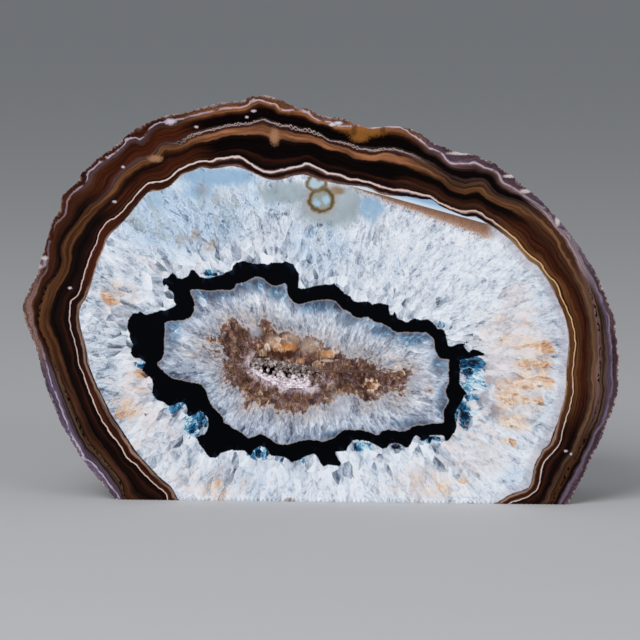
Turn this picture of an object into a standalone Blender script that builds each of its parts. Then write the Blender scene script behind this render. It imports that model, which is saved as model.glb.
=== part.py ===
"""Agate slice, standing on its sawn base.

A slab sawn through an agate nodule. The polished front is flat, the rough rind runs all round and
leans in towards the back, the underside is sawn flat so that the slab stands, and a small hollow in
the front is lined with a crust of quartz points.

Metres, +Z up. The front faces -Y. The origin is the centre of the sawn base.
"""

import random

import bmesh
import bpy
from mathutils import Vector, noise

MM = 0.001

# Driving dimensions
THICKNESS = 0.030
RIND_LEAN = 0.0055  # how far the rind has come in by the back face
LEAN_POWER = 1.5  # the rind leans slowly at first, as the outside of a round nodule does
EDGE_CHAMFER = 0.0006  # the ground edge round both sawn faces
LUMP_DEPTH = 0.0024  # broad lumps of the rind
LUMP_SIZE = 0.009
PIT_DEPTH = 0.0013  # small pits and ledges of the rind
PIT_SIZE = 0.0034
PIT_OFFSET = Vector((7.3, 1.9, 4.1))  # keeps the pits out of step with the lumps
ROUGH_START = 0.10  # share of the thickness by which the rind has its full roughness
SECTION_SHARES = (0.10, 0.21, 0.33, 0.45, 0.57, 0.69, 0.80, 0.90)
OUTLINE_STEPS = 190

HOLLOW_DEPTH = 0.0085
HOLLOW_SHALLOW = 0.45  # depth of the hollow's right end, as a share of its left end's
HOLLOW_FULLNESS = 2.6  # 2 gives the hollow a round section, and more a flatter floor
CUTTER_REACH = 0.002  # how far the hollow's cutter stands out of the front
LAST_ROW_DEPTH = 0.93  # depth of the last row of crystals, as a share of the hollow's
ROW_POWER = 0.8  # under 1, so that the rows lie closer together towards the floor
CELL_ZIGZAG = 0.2  # how far a row's points step up and down, as a share of the row's height
CLEARANCE = 0.0003  # between the crust and the stone that it grows on
CRUST_WALL = 0.0008
CRYSTALS_AROUND = 27
CRYSTAL_ROWS = 6
CRYSTAL_SHOULDER = 0.00016  # how far a crystal's sides stand in from its neighbours
CRYSTAL_SIDE = (0.0001, 0.0005)  # height of a crystal's six sides, shortest and tallest
CRYSTAL_TIP = (0.0005, 0.0011)  # height of its pointed end
CRYSTAL_LEAN = 0.3  # most that a tip leans to a side, as a share of its height
CRYSTAL_SEED = 11
AIM_DEPTH = 0.003  # how far behind the front the crystals aim
AIM_STRAIGHT = 0.8  # 1 aims them straight across the hollow, and 0 at its heart

FRONT_Y = -THICKNESS / 2

# The outside of the nodule on the front face, in millimetres (X, Z), clockwise from the base's left
# end. The last points close it below the base, where the saw takes it away.
OUTLINE_MM = [
    (-51.6, 0.0), (-53.6, 2.2), (-56.0, 5.0), (-58.2, 7.8), (-60.2, 10.3), (-62.0, 13.2),
    (-63.4, 15.8), (-65.2, 18.8), (-66.3, 21.4), (-67.7, 25.0), (-68.9, 28.0), (-69.8, 31.0),
    (-70.7, 34.7), (-71.2, 37.0), (-72.2, 39.8), (-73.3, 42.6), (-74.2, 45.2), (-74.8, 47.6),
    (-74.6, 50.0), (-73.5, 52.5), (-72.4, 54.8), (-71.2, 56.9), (-70.5, 59.0), (-70.1, 61.0),
    (-69.3, 62.7), (-68.7, 65.0), (-67.8, 68.0), (-67.0, 70.6), (-65.8, 72.2), (-65.2, 74.0),
    (-64.9, 75.6), (-64.1, 77.3), (-62.0, 79.0), (-60.4, 80.6), (-59.8, 82.2), (-58.5, 83.4),
    (-56.8, 85.2), (-54.5, 86.8), (-52.5, 88.3), (-50.0, 90.2), (-47.5, 92.4), (-45.2, 94.0),
    (-42.8, 95.1), (-40.5, 96.0), (-38.2, 96.9), (-35.0, 97.4), (-32.5, 97.9), (-30.0, 98.7),
    (-27.2, 99.5), (-25.0, 100.0), (-22.5, 100.4), (-20.2, 100.4), (-18.6, 101.0), (-17.0, 101.7),
    (-15.0, 102.0), (-13.0, 101.9), (-11.0, 101.3), (-9.3, 100.7), (-7.5, 99.9), (-5.5, 98.9),
    (-3.0, 98.7), (-1.5, 98.0), (0.0, 97.3), (2.2, 96.7), (4.5, 96.5), (6.4, 96.1),
    (7.9, 95.2), (9.5, 94.9), (11.3, 94.2), (14.5, 94.1), (16.8, 94.4), (20.0, 94.3),
    (22.5, 93.8), (25.0, 92.6), (27.0, 91.2), (29.0, 89.9), (31.0, 89.3), (33.0, 88.4),
    (35.4, 87.8), (38.3, 87.5), (40.3, 86.6), (43.0, 85.6), (45.0, 84.1), (47.5, 82.5),
    (49.0, 81.2), (50.5, 79.8), (52.2, 78.5), (54.0, 77.0), (56.0, 75.0), (57.7, 73.2),
    (59.0, 71.9), (60.5, 70.0), (62.5, 67.5), (64.5, 64.8), (66.5, 61.8), (68.0, 59.4),
    (69.5, 56.5), (71.0, 53.0), (72.3, 49.6), (73.4, 47.0), (73.9, 44.5), (74.1, 42.0),
    (74.4, 39.0), (74.8, 36.0), (74.5, 33.0), (74.5, 30.0), (74.2, 27.5), (73.7, 25.2),
    (72.8, 22.7), (71.6, 19.8), (70.4, 16.6), (69.0, 13.7), (67.6, 10.6), (66.5, 8.2),
    (65.2, 5.7), (63.8, 3.0), (62.2, 0.0), (59.5, -3.5), (52.0, -7.0), (36.0, -9.5),
    (14.0, -10.5), (-10.0, -10.0), (-32.0, -8.0), (-45.0, -4.8),
]
NODULE_HEART_MM = (0.0, 42.0)  # the point that the rind leans towards

# The mouth of the hollow on the front face, clockwise from its left end.
HOLLOW_MM = [
    (-17.6, 34.6), (-16.2, 36.2), (-13.2, 36.4), (-10.0, 35.4), (-6.8, 35.0), (-3.6, 34.5),
    (-1.0, 33.8), (1.2, 32.8), (1.7, 31.3), (-0.4, 29.9), (-3.2, 28.8), (-6.4, 28.4),
    (-9.4, 29.1), (-12.2, 30.2), (-14.8, 31.5), (-16.9, 33.0),
]
HOLLOW_HEART_MM = (-8.6, 32.3)
HOLLOW_LEFT = -0.0176
HOLLOW_RIGHT = 0.0017

STONE_LOOK = ("banded agate", (0.16, 0.07, 0.035), 0.18)
QUARTZ_LOOK = ("drusy quartz", (0.78, 0.74, 0.74), 0.22)


# Scene

def clear_scene():
    for obj in list(bpy.data.objects):
        bpy.data.objects.remove(obj)


def new_collection(name):
    collection = bpy.data.collections.new(name)
    bpy.context.scene.collection.children.link(collection)
    return collection


def new_material(name, colour, roughness):
    material = bpy.data.materials.new(name)
    material.use_nodes = True
    shader = material.node_tree.nodes["Principled BSDF"]
    shader.inputs["Base Color"].default_value = (*colour, 1.0)
    shader.inputs["Roughness"].default_value = roughness
    shader.inputs["Metallic"].default_value = 0.0
    return material


def add_object(name, bm, collection, material=None):
    """Makes an object of the bmesh, which it frees."""
    bmesh.ops.recalc_face_normals(bm, faces=bm.faces)
    mesh = bpy.data.meshes.new(name)
    bm.to_mesh(mesh)
    bm.free()
    obj = bpy.data.objects.new(name, mesh)
    collection.objects.link(obj)
    if material:
        mesh.materials.append(material)
    return obj


# Outlines

def smooth_closed(points, per_span=8):
    """A closed Catmull-Rom curve through the points, in metres."""
    points = [Vector(p) * MM for p in points]
    count = len(points)
    curve = []
    for i in range(count):
        before, start, end, after = (points[(i + k) % count] for k in (-1, 0, 1, 2))
        for j in range(per_span):
            t = j / per_span
            curve.append(0.5 * (
                2 * start
                + (end - before) * t
                + (2 * before - 5 * start + 4 * end - after) * t**2
                + (3 * start - before - 3 * end + after) * t**3
            ))
    return curve


def evenly_spaced(curve, count):
    """The closed curve as this many points, equally far apart along it."""
    lengths = [(curve[(i + 1) % len(curve)] - p).length for i, p in enumerate(curve)]
    step = sum(lengths) / count
    spaced, walked, i = [], 0.0, 0
    for k in range(count):
        while walked + lengths[i] < k * step:
            walked += lengths[i]
            i += 1
        share = (k * step - walked) / lengths[i]
        spaced.append(curve[i].lerp(curve[(i + 1) % len(curve)], share))
    return spaced


def moved_in(point, heart, distance):
    """The point moved this far straight towards the heart of its outline."""
    way = point - heart
    return heart + way * (1 - distance / way.length)


# Lofting

def quads_between(bm, near, far):
    for i in range(len(near)):
        j = (i + 1) % len(near)
        bm.faces.new((near[i], near[j], far[j], far[i]))


def lofted(rings):
    """A closed solid through rings of 3-D points, with a flat cap at each end."""
    bm = bmesh.new()
    rows = [[bm.verts.new(p) for p in ring] for ring in rings]
    for near, far in zip(rows, rows[1:]):
        quads_between(bm, near, far)
    bm.faces.new(rows[0])
    bm.faces.new(rows[-1])
    return bm


# The stone

def rind_relief(place):
    """How far the rind lies in from its smooth form at this place: lumps with pits on them."""
    lumps = 0.5 + 0.5 * noise.noise(place / LUMP_SIZE)
    pits = 0.5 + 0.5 * noise.noise(place / PIT_SIZE + PIT_OFFSET)
    return LUMP_DEPTH * lumps + PIT_DEPTH * pits


def rind_rings():
    """Sections through the nodule from the front face to the back one."""
    outline = evenly_spaced(smooth_closed(OUTLINE_MM), OUTLINE_STEPS)
    heart = Vector(NODULE_HEART_MM) * MM
    chamfer = EDGE_CHAMFER / THICKNESS
    rings = []
    for share in (0.0, chamfer, *SECTION_SHARES, 1 - chamfer, 1.0):
        y = FRONT_Y + THICKNESS * share
        ground = EDGE_CHAMFER if share in (0.0, 1.0) else 0.0
        rough = min(1.0, max(0.0, share - chamfer) / (ROUGH_START - chamfer))
        ring = []
        for p in outline:
            relief = rough * rind_relief(Vector((p.x, y, p.y)))
            q = moved_in(p, heart, RIND_LEAN * share**LEAN_POWER + relief + ground)
            ring.append(Vector((q.x, y, q.y)))
        rings.append(ring)
    return rings


def saw_base(bm):
    """Cuts the nodule off at Z = 0 and closes the cut with one flat face."""
    cut = bmesh.ops.bisect_plane(
        bm, geom=bm.verts[:] + bm.edges[:] + bm.faces[:],
        plane_co=(0, 0, 0), plane_no=(0, 0, 1), clear_inner=True,
    )["geom_cut"]
    bmesh.ops.contextual_create(bm, geom=[g for g in cut if isinstance(g, bmesh.types.BMEdge)])


def make_stone(collection, material):
    bm = lofted(rind_rings())
    saw_base(bm)
    return add_object("agate_slice", bm, collection, material)


# The hollow

def mouth_points():
    """Two points for each crystal round the mouth of the hollow."""
    return evenly_spaced(smooth_closed(HOLLOW_MM), 2 * CRYSTALS_AROUND)


def hollow_place(mouth_point, depth, inset):
    """A place on the hollow's wall, held in by inset, at this share of the way to its floor."""
    heart = Vector(HOLLOW_HEART_MM) * MM
    size = max(0.0, 1 - depth**HOLLOW_FULLNESS) ** 0.5
    p = moved_in(mouth_point, heart, inset)
    p = heart + (p - heart) * size
    along = (mouth_point.x - HOLLOW_LEFT) / (HOLLOW_RIGHT - HOLLOW_LEFT)
    floor = HOLLOW_DEPTH * (1 + (HOLLOW_SHALLOW - 1) * along) - inset
    return Vector((p.x, FRONT_Y + floor * depth, p.y))


def row_depths():
    return [LAST_ROW_DEPTH * (k / CRYSTAL_ROWS) ** ROW_POWER for k in range(CRYSTAL_ROWS + 1)]


def wall_rings(inset):
    return [[hollow_place(p, depth, inset) for p in mouth_points()] for depth in row_depths()]


def cut_hollow(stone, collection):
    rings = wall_rings(0.0)
    mouth = [Vector((p.x, FRONT_Y - CUTTER_REACH, p.z)) for p in rings[0]]
    cutter = add_object("hollow", lofted([mouth] + rings[1:]), collection)
    cutter.hide_render = True
    cutter.display_type = "WIRE"
    modifier = stone.modifiers.new("Hollow", "BOOLEAN")
    modifier.operation = "DIFFERENCE"
    modifier.object = cutter


# The crystals in it

def cell_rings():
    """Rings of points on the crust's inner wall, set in zigzag so that the cells are hexagons."""
    depths = row_depths()
    inset = CLEARANCE + CRUST_WALL
    rings = []
    for k, depth in enumerate(depths):
        zigzag = 0.0 if k in (0, CRYSTAL_ROWS) else (depths[k] - depths[k - 1]) * CELL_ZIGZAG
        ring = []
        for j, p in enumerate(mouth_points()):
            side = 1 if (j + k) % 2 == 0 else -1
            ring.append(hollow_place(p, depth + side * zigzag, inset))
        rings.append(ring)
    return rings


def six_sided_cells(bm, rows):
    """Hexagons between the rings of points, each row shifted by half a cell, like bricks."""
    count = 2 * CRYSTALS_AROUND
    cells = []
    for k, (near, far) in enumerate(zip(rows, rows[1:])):
        for i in range(CRYSTALS_AROUND):
            a, b, c = ((2 * i + k % 2 + step) % count for step in (0, 1, 2))
            cells.append(bm.faces.new((near[a], near[b], near[c], far[c], far[b], far[a])))
    return cells


def grow_crystal(bm, cell, middle):
    """Turns a cell of the wall into a quartz point: six sides and a six-faced tip."""
    inward = (middle - cell.calc_center_median()).normalized()
    bmesh.ops.inset_individual(bm, faces=[cell], thickness=CRYSTAL_SHOULDER, use_even_offset=True)
    side = inward * random.uniform(*CRYSTAL_SIDE)
    for v in cell.verts:
        v.co += side
    lean = Vector([random.uniform(-CRYSTAL_LEAN, CRYSTAL_LEAN) for _ in range(3)])
    tip = bmesh.ops.poke(bm, faces=[cell])["verts"][0]
    tip.co += (inward + lean) * random.uniform(*CRYSTAL_TIP)


def make_crust(collection, material):
    """The drusy lining: a thin bowl whose inner wall is crystals, ground flush with the front."""
    random.seed(CRYSTAL_SEED)
    bm = bmesh.new()
    outer = [[bm.verts.new(p) for p in ring] for ring in wall_rings(CLEARANCE)]
    inner = [[bm.verts.new(p) for p in ring] for ring in cell_rings()]
    for near, far in zip(outer, outer[1:]):
        quads_between(bm, near, far)
    bm.faces.new(outer[-1])
    quads_between(bm, outer[0], inner[0])
    cells = six_sided_cells(bm, inner)
    cells.append(bm.faces.new(inner[-1]))
    bmesh.ops.recalc_face_normals(bm, faces=bm.faces)
    for cell in cells:
        p = cell.calc_center_median()
        # A crystal aims across the hollow, at the line that runs along its middle.
        heart = Vector((HOLLOW_HEART_MM[0] * MM, FRONT_Y + AIM_DEPTH, HOLLOW_HEART_MM[1] * MM))
        middle = heart + Vector(((p.x - heart.x) * AIM_STRAIGHT, 0, 0))
        grow_crystal(bm, cell, middle)
    return add_object("quartz_crust", bm, collection, material)


def main():
    clear_scene()
    parts = new_collection("agate slice")
    cutters = new_collection("cutters")
    stone = make_stone(parts, new_material(*STONE_LOOK))
    cut_hollow(stone, cutters)
    make_crust(parts, new_material(*QUARTZ_LOOK))


main()
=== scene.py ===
# %% [markdown]
# # A polished agate slice
#
# An agate grows from the outside in. Thin bands of coloured chalcedony line a hollow in the rock, then
# quartz crystals grow on the last band, and here a second skin of black agate and a second growth of
# quartz fill what is left, all but a small open pocket. A saw cut lays the whole story bare. The front
# is polished, the back and the base are only sawn, and the sides keep the rough outside of the nodule.
#
# The slice is one stone, so it is one piece here. The crystals in the pocket are a second one.

# %% Load the measured solids
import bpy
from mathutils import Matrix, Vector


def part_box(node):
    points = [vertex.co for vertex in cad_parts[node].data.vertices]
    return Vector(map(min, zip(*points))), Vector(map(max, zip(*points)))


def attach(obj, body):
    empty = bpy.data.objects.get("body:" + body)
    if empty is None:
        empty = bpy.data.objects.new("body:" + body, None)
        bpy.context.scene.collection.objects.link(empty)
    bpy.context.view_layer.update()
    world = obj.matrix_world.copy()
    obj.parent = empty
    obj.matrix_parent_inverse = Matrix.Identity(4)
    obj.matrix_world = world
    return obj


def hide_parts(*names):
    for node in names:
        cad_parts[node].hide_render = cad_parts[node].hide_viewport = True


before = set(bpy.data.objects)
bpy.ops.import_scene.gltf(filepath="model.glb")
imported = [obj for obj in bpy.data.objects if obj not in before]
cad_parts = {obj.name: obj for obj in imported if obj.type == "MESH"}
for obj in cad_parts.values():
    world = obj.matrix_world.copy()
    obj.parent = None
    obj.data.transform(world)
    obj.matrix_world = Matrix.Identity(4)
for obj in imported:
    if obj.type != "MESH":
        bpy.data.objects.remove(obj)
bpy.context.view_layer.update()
print("solids:", list(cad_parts))

# %% [markdown]
# All lengths on the stone are easiest to think of in millimetres, while Blender works in metres here.
# The front face is the plane at the lowest Y.

# %% Units and main places
import math
import random

import bmesh
import bpy
import numpy as np
from mathutils import Matrix, Vector, noise

MM = 0.001
STONE = "agate_slice"
CRUST = "quartz_crust"
stone_low, stone_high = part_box(STONE)
FRONT = stone_low[1] / MM
THICKNESS = (stone_high[1] - stone_low[1]) / MM
BACK = FRONT + THICKNESS
HEART = np.array((0.0, 42.0))  # what the rind leans in towards, on the face's X and Z
RIND_LEAN = 5.5  # how far in the back's outline lies
HALF_WIDTH = 62  # of the slice, on average
ON_PLANE = 0.05  # how near a plane a spot still counts as on it
print(f"front face at y = {FRONT:.1f} mm, stone {THICKNESS:.1f} mm thick")

# %% [markdown]
# Operators act on whatever is selected, and loading leaves the solids selected, so each step starts
# from an empty selection. A solid's mesh is loose triangles. A copy with its doubles merged is a mesh
# that can be worked on, and the solid itself stays as it was measured.

# %% Helpers for objects


def select_only(obj):
    """Makes this the selected and active object."""
    bpy.ops.object.select_all(action="DESELECT")
    obj.select_set(True)
    bpy.context.view_layer.objects.active = obj


def merged_copy(node, name):
    """A copy of a measured solid, its doubled vertices merged."""
    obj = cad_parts[node].copy()
    obj.data = obj.data.copy()
    obj.name = obj.data.name = name
    obj.parent = None
    obj.matrix_world = Matrix()
    bpy.context.scene.collection.objects.link(obj)
    select_only(obj)
    bpy.ops.object.mode_set(mode="EDIT")
    bpy.ops.mesh.select_all(action="SELECT")
    bpy.ops.mesh.remove_doubles(threshold=1e-6)
    bpy.ops.object.mode_set(mode="OBJECT")
    return obj


def apply_modifier(obj, kind, **settings):
    """Adds a modifier with these settings and applies it."""
    modifier = obj.modifiers.new(kind.title(), kind)
    for name, value in settings.items():
        setattr(modifier, name, value)
    select_only(obj)
    bpy.ops.object.modifier_apply(modifier=modifier.name)


def vertex_places(obj):
    """Every vertex's place in millimetres, as an array of X, Y, Z."""
    flat = np.empty(3 * len(obj.data.vertices))
    obj.data.vertices.foreach_get("co", flat)
    return flat.reshape(-1, 3) / MM


def put_vertices(obj, places):
    """Moves every vertex to its place in millimetres."""
    obj.data.vertices.foreach_set("co", (places * MM).ravel())
    obj.data.update()


# %% [markdown]
# ## The stone's surface
#
# The bands and crystals are painted by a material that needs to know, at every point, how far it is
# from each curve that can be followed on the face. Those distances are stored on the vertices, so the
# face needs many of them. A voxel remesh gives the whole stone an even net of small quads. It rounds
# the sawn edges a little and lifts the flat faces by a few hundredths of a millimetre, so vertices
# near a sawn plane are put back on it.

# %% Remesh the stone
VOXEL = 0.56  # mm
NEAR_A_PLANE = 0.6 * VOXEL  # how far a vertex may lie from a sawn plane and still be put back on it

stone = merged_copy(STONE, "polished_slice")
apply_modifier(stone, "REMESH", mode="VOXEL", voxel_size=VOXEL * MM)


def flatten_sawn_planes(places):
    """Puts vertices that lie close to the front, back or base on that plane."""
    places[:, 1] = np.where(places[:, 1] < FRONT + NEAR_A_PLANE, FRONT, places[:, 1])
    places[:, 1] = np.where(places[:, 1] > BACK - NEAR_A_PLANE, BACK, places[:, 1])
    places[:, 2] = np.where(places[:, 2] < NEAR_A_PLANE, 0.0, places[:, 2])
    return places


put_vertices(stone, flatten_sawn_planes(vertex_places(stone)))
print("stone net:", len(stone.data.polygons), "faces")

# %% [markdown]
# Nothing fine shows on the back and the base, so there the net is made coarser. Un-subdivide undoes
# two rounds of subdivision on the selected part and leaves the rest alone.

# %% Thin the net on the back and the base


def select_faces(obj, wanted):
    """Selects the faces whose centre and normal pass the test, and leaves edit mode off."""
    select_only(obj)
    bpy.ops.object.mode_set(mode="EDIT")
    bpy.ops.mesh.select_mode(type="FACE")
    bpy.ops.mesh.select_all(action="DESELECT")
    bpy.ops.object.mode_set(mode="OBJECT")
    for face in obj.data.polygons:
        face.select = bool(wanted(face.center, face.normal))


def faces_back_or_down(centre, normal):
    """True for the faces of the sawn back and of the base."""
    return normal.y > 0.999 or (normal.z < -0.999 and centre.z < 0.1 * MM)


select_faces(stone, faces_back_or_down)
bpy.ops.object.mode_set(mode="EDIT")
bpy.ops.mesh.unsubdivide(iterations=2)
bpy.ops.mesh.select_all(action="SELECT")
bpy.ops.mesh.quads_convert_to_tris(quad_method="SHORTEST_DIAGONAL", ngon_method="BEAUTY")
bpy.ops.object.mode_set(mode="OBJECT")
print("stone after thinning:", len(stone.data.polygons), "triangles")

# %% [markdown]
# ## The curves on the face
#
# A band in agate keeps its place between its neighbours all the way round, so a few lines that are
# followed on the polished face set the whole pattern. Here they are as places on the face, in
# millimetres, clockwise from the bottom left. The saw cut through all of them at the base, so each is
# closed below it with a few points that only the back of the slice comes near.

# %% The outside of the nodule and the four lines of its banded skin
OUTLINE = [
    (-51.6, 0.0), (-53.6, 2.2), (-56.0, 5.0), (-58.2, 7.8), (-60.2, 10.3), (-62.0, 13.2), (-63.4, 15.8),
    (-65.2, 18.8), (-66.3, 21.4), (-67.7, 25.0), (-68.9, 28.0), (-69.8, 31.0), (-70.7, 34.7),
    (-71.2, 37.0), (-72.2, 39.8), (-73.3, 42.6), (-74.2, 45.2), (-74.8, 47.6), (-74.6, 50.0),
    (-73.5, 52.5), (-72.4, 54.8), (-71.2, 56.9), (-70.5, 59.0), (-70.1, 61.0), (-69.3, 62.7),
    (-68.7, 65.0), (-67.8, 68.0), (-67.0, 70.6), (-65.8, 72.2), (-65.2, 74.0), (-64.9, 75.6),
    (-64.1, 77.3), (-62.0, 79.0), (-60.4, 80.6), (-59.8, 82.2), (-58.5, 83.4), (-56.8, 85.2),
    (-54.5, 86.8), (-52.5, 88.3), (-50.0, 90.2), (-47.5, 92.4), (-45.2, 94.0), (-42.8, 95.1),
    (-40.5, 96.0), (-38.2, 96.9), (-35.0, 97.4), (-32.5, 97.9), (-30.0, 98.7), (-27.2, 99.5),
    (-25.0, 100.0), (-22.5, 100.4), (-20.2, 100.4), (-18.6, 101.0), (-17.0, 101.7), (-15.0, 102.0),
    (-13.0, 101.9), (-11.0, 101.3), (-9.3, 100.7), (-7.5, 99.9), (-5.5, 98.9), (-3.0, 98.7),
    (-1.5, 98.0), (0.0, 97.3), (2.2, 96.7), (4.5, 96.5), (6.4, 96.1), (7.9, 95.2), (9.5, 94.9),
    (11.3, 94.2), (14.5, 94.1), (16.8, 94.4), (20.0, 94.3), (22.5, 93.8), (25.0, 92.6), (27.0, 91.2),
    (29.0, 89.9), (31.0, 89.3), (33.0, 88.4), (35.4, 87.8), (38.3, 87.5), (40.3, 86.6), (43.0, 85.6),
    (45.0, 84.1), (47.5, 82.5), (49.0, 81.2), (50.5, 79.8), (52.2, 78.5), (54.0, 77.0), (56.0, 75.0),
    (57.7, 73.2), (59.0, 71.9), (60.5, 70.0), (62.5, 67.5), (64.5, 64.8), (66.5, 61.8), (68.0, 59.4),
    (69.5, 56.5), (71.0, 53.0), (72.3, 49.6), (73.4, 47.0), (73.9, 44.5), (74.1, 42.0), (74.4, 39.0),
    (74.8, 36.0), (74.5, 33.0), (74.5, 30.0), (74.2, 27.5), (73.7, 25.2), (72.8, 22.7), (71.6, 19.8),
    (70.4, 16.6), (69.0, 13.7), (67.6, 10.6), (66.5, 8.2), (65.2, 5.7), (63.8, 3.0), (62.2, 0.0),
    (59.5, -3.5), (52.0, -7.0), (36.0, -9.5), (14.0, -10.5), (-10.0, -10.0), (-32.0, -8.0),
    (-45.0, -4.8),
]
OUTER_LINE = [
    (-49.5, -2), (-51.3, 1.5), (-53.4, 4), (-55.2, 6.5), (-57.2, 9), (-59.3, 11), (-61.1, 14),
    (-62.7, 17), (-64, 20), (-64.8, 22), (-65.9, 25), (-66.7, 27), (-67.6, 30), (-68.1, 32),
    (-68.9, 35), (-69.8, 38), (-70.4, 40), (-71.1, 42), (-72, 45), (-72.4, 48), (-72.4, 50),
    (-71.2, 53), (-70, 56), (-68.6, 58), (-68, 61), (-67.6, 64), (-66.6, 67), (-65.9, 69.5),
    (-64.6, 71.2), (-63.6, 72.6), (-63.4, 74.5), (-62.5, 76), (-60.5, 78.2), (-58.3, 80.3),
    (-57.8, 82.5), (-55.5, 84.3), (-53.3, 85.8), (-51, 87.5), (-49.7, 88.7), (-48, 90.2), (-46, 91.1),
    (-44.8, 90.5), (-43.7, 91.3), (-43, 92.7), (-41, 94.2), (-39.5, 94.9), (-38.6, 95), (-35.8, 95.5),
    (-32, 96.3), (-27.5, 97.8), (-25, 98.3), (-22.5, 98.7), (-20, 98.7), (-18, 99.5), (-17, 100.4),
    (-15, 100.5), (-12.5, 99.9), (-11, 99.5), (-10, 98.5), (-7.5, 98), (-5, 98), (-3, 97.6),
    (-1.5, 96.4), (0, 95.7), (3, 95.3), (4, 94.6), (5.5, 94.2), (9, 94.2), (20, 93.5), (22.5, 92.4),
    (25, 90.8), (27, 89), (29.5, 88), (30.7, 87), (31.5, 85.8), (33, 85.2), (36, 85.1), (39, 85.2),
    (41, 84.2), (43.5, 83.3), (44.5, 82), (45.2, 80.8), (47, 79.8), (48.5, 78.8), (49.8, 77.6),
    (51.5, 76.6), (53.5, 75.3), (55, 74.3), (56.5, 73), (58, 70.5), (60, 68.5), (62, 67), (65, 61.5),
    (67, 58.3), (68.5, 55.2), (69.7, 52.5), (70.5, 50.1), (71.6, 46.9), (72.1, 42.7), (72.5, 38),
    (72.8, 35.3), (72.7, 30.5), (72.3, 26), (70.9, 20.7), (69.2, 18.8), (67.3, 14), (66, 10.8),
    (63.3, 6), (61.5, 2.5), (60, 0), (58.5, -2), (52, -6), (34, -8.6), (0, -9.5), (-32, -7.3),
    (-45, -4),
]
MIDDLE_LINE = [
    (-47, -1), (-50, 5), (-55, 11.5), (-58, 15), (-60.5, 20), (-62.5, 25), (-64.5, 30), (-66.5, 35),
    (-68, 38.5), (-69.5, 42), (-70.3, 45), (-69.8, 49), (-68.5, 53), (-66.8, 55.5), (-65.2, 58),
    (-64.6, 60.5), (-64.7, 63), (-64.2, 65), (-62.8, 67.5), (-60.8, 70), (-58.8, 72.5), (-57, 74.3),
    (-54.5, 76), (-52.5, 78), (-50.5, 81), (-48, 83.3), (-45, 85.6), (-42.5, 86.3), (-40.5, 88),
    (-39.3, 89.3), (-35.5, 89.6), (-32.5, 91.3), (-30, 92.2), (-27.5, 92.7), (-25, 93.6),
    (-22.5, 94.2), (-20, 94.4), (-17.5, 94.8), (-15.5, 95.4), (-14.2, 95.8), (-12.5, 95), (-10, 94.2),
    (-7.5, 93.9), (-5, 93), (-2.5, 92.8), (0, 92), (2.5, 90.8), (5, 90.3), (7.5, 89.6), (10, 88.5),
    (12.5, 88.1), (15, 88.2), (17.5, 88.4), (20, 88), (22.5, 87.3), (25, 86), (27, 84.8), (28.5, 84),
    (30, 83), (32, 81.7), (34, 80.6), (36.5, 80), (38.5, 80.5), (41, 80), (43, 78), (45.5, 76.7),
    (48, 76), (50.5, 75), (53, 73.5), (55, 72), (57, 70), (59.5, 67), (61, 64), (62.5, 61), (64, 58.5),
    (65.5, 55.5), (66.5, 52.5), (67.5, 49), (68, 45.5), (68.5, 41), (68.3, 37), (68, 33), (68.2, 29),
    (68, 26), (67.4, 22.5), (65.8, 18.5), (64.7, 15.5), (63.8, 13), (62, 11), (60.5, 8), (59.2, 5.5),
    (57.5, 2.5), (56.5, 0), (50, -5), (30, -7.8), (0, -8.3), (-28, -6.6),
]
WHITE_LINE = [
    (-37, -1), (-38.8, 1.5), (-41, 3.5), (-44, 6.5), (-45.5, 8), (-48.3, 10.5), (-50.5, 13.5),
    (-52.5, 16.5), (-55, 20.5), (-56.8, 24), (-58.2, 27.5), (-59.8, 32), (-60.7, 36), (-61.5, 39.5),
    (-62.6, 43.5), (-62.9, 46.5), (-62.4, 50), (-60.5, 52), (-59.7, 55), (-58.9, 57.5), (-58.2, 60),
    (-57.3, 62.5), (-55.8, 64.8), (-54.8, 67.5), (-53, 70), (-50.5, 72), (-47.8, 74.5), (-45, 77.7),
    (-42.5, 79.8), (-39.5, 80.3), (-37.5, 81.3), (-35, 83.4), (-32.5, 84.4), (-30, 85.5),
    (-27.5, 85.3), (-25, 85.9), (-22.5, 86.2), (-20, 86.3), (-18, 85.3), (-15, 83.5), (-12, 82.9),
    (-9.5, 83), (-7, 83.7), (-4.5, 84.3), (-2.8, 84.8), (-1, 84.2), (2, 82.7), (5, 82), (7, 81),
    (10, 80.7), (12.5, 80.3), (15, 79.3), (17, 78.7), (19, 78.4), (22, 78.2), (25, 77.2), (28, 76.8),
    (30, 75.3), (33, 74), (35.5, 73.3), (39, 73.2), (41, 72), (43.5, 70.5), (46, 68.6), (48.5, 66.5),
    (51, 63.7), (52.7, 62), (54.5, 61), (56.5, 58), (58.5, 55.5), (60, 52.5), (61.5, 49.5),
    (62.7, 46.5), (63.3, 43.5), (63.6, 41), (63.3, 37), (63.1, 33), (63, 30), (62.8, 26.5),
    (61.8, 22.5), (60.5, 18.5), (59.8, 15.5), (58.3, 13.3), (56.3, 11.3), (55.4, 8.5), (55.3, 6),
    (54.5, 4), (52.5, 2.2), (50, 1), (48, 0.5), (42, -3.2), (25, -6), (0, -6.3), (-23, -5.2),
]
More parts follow.
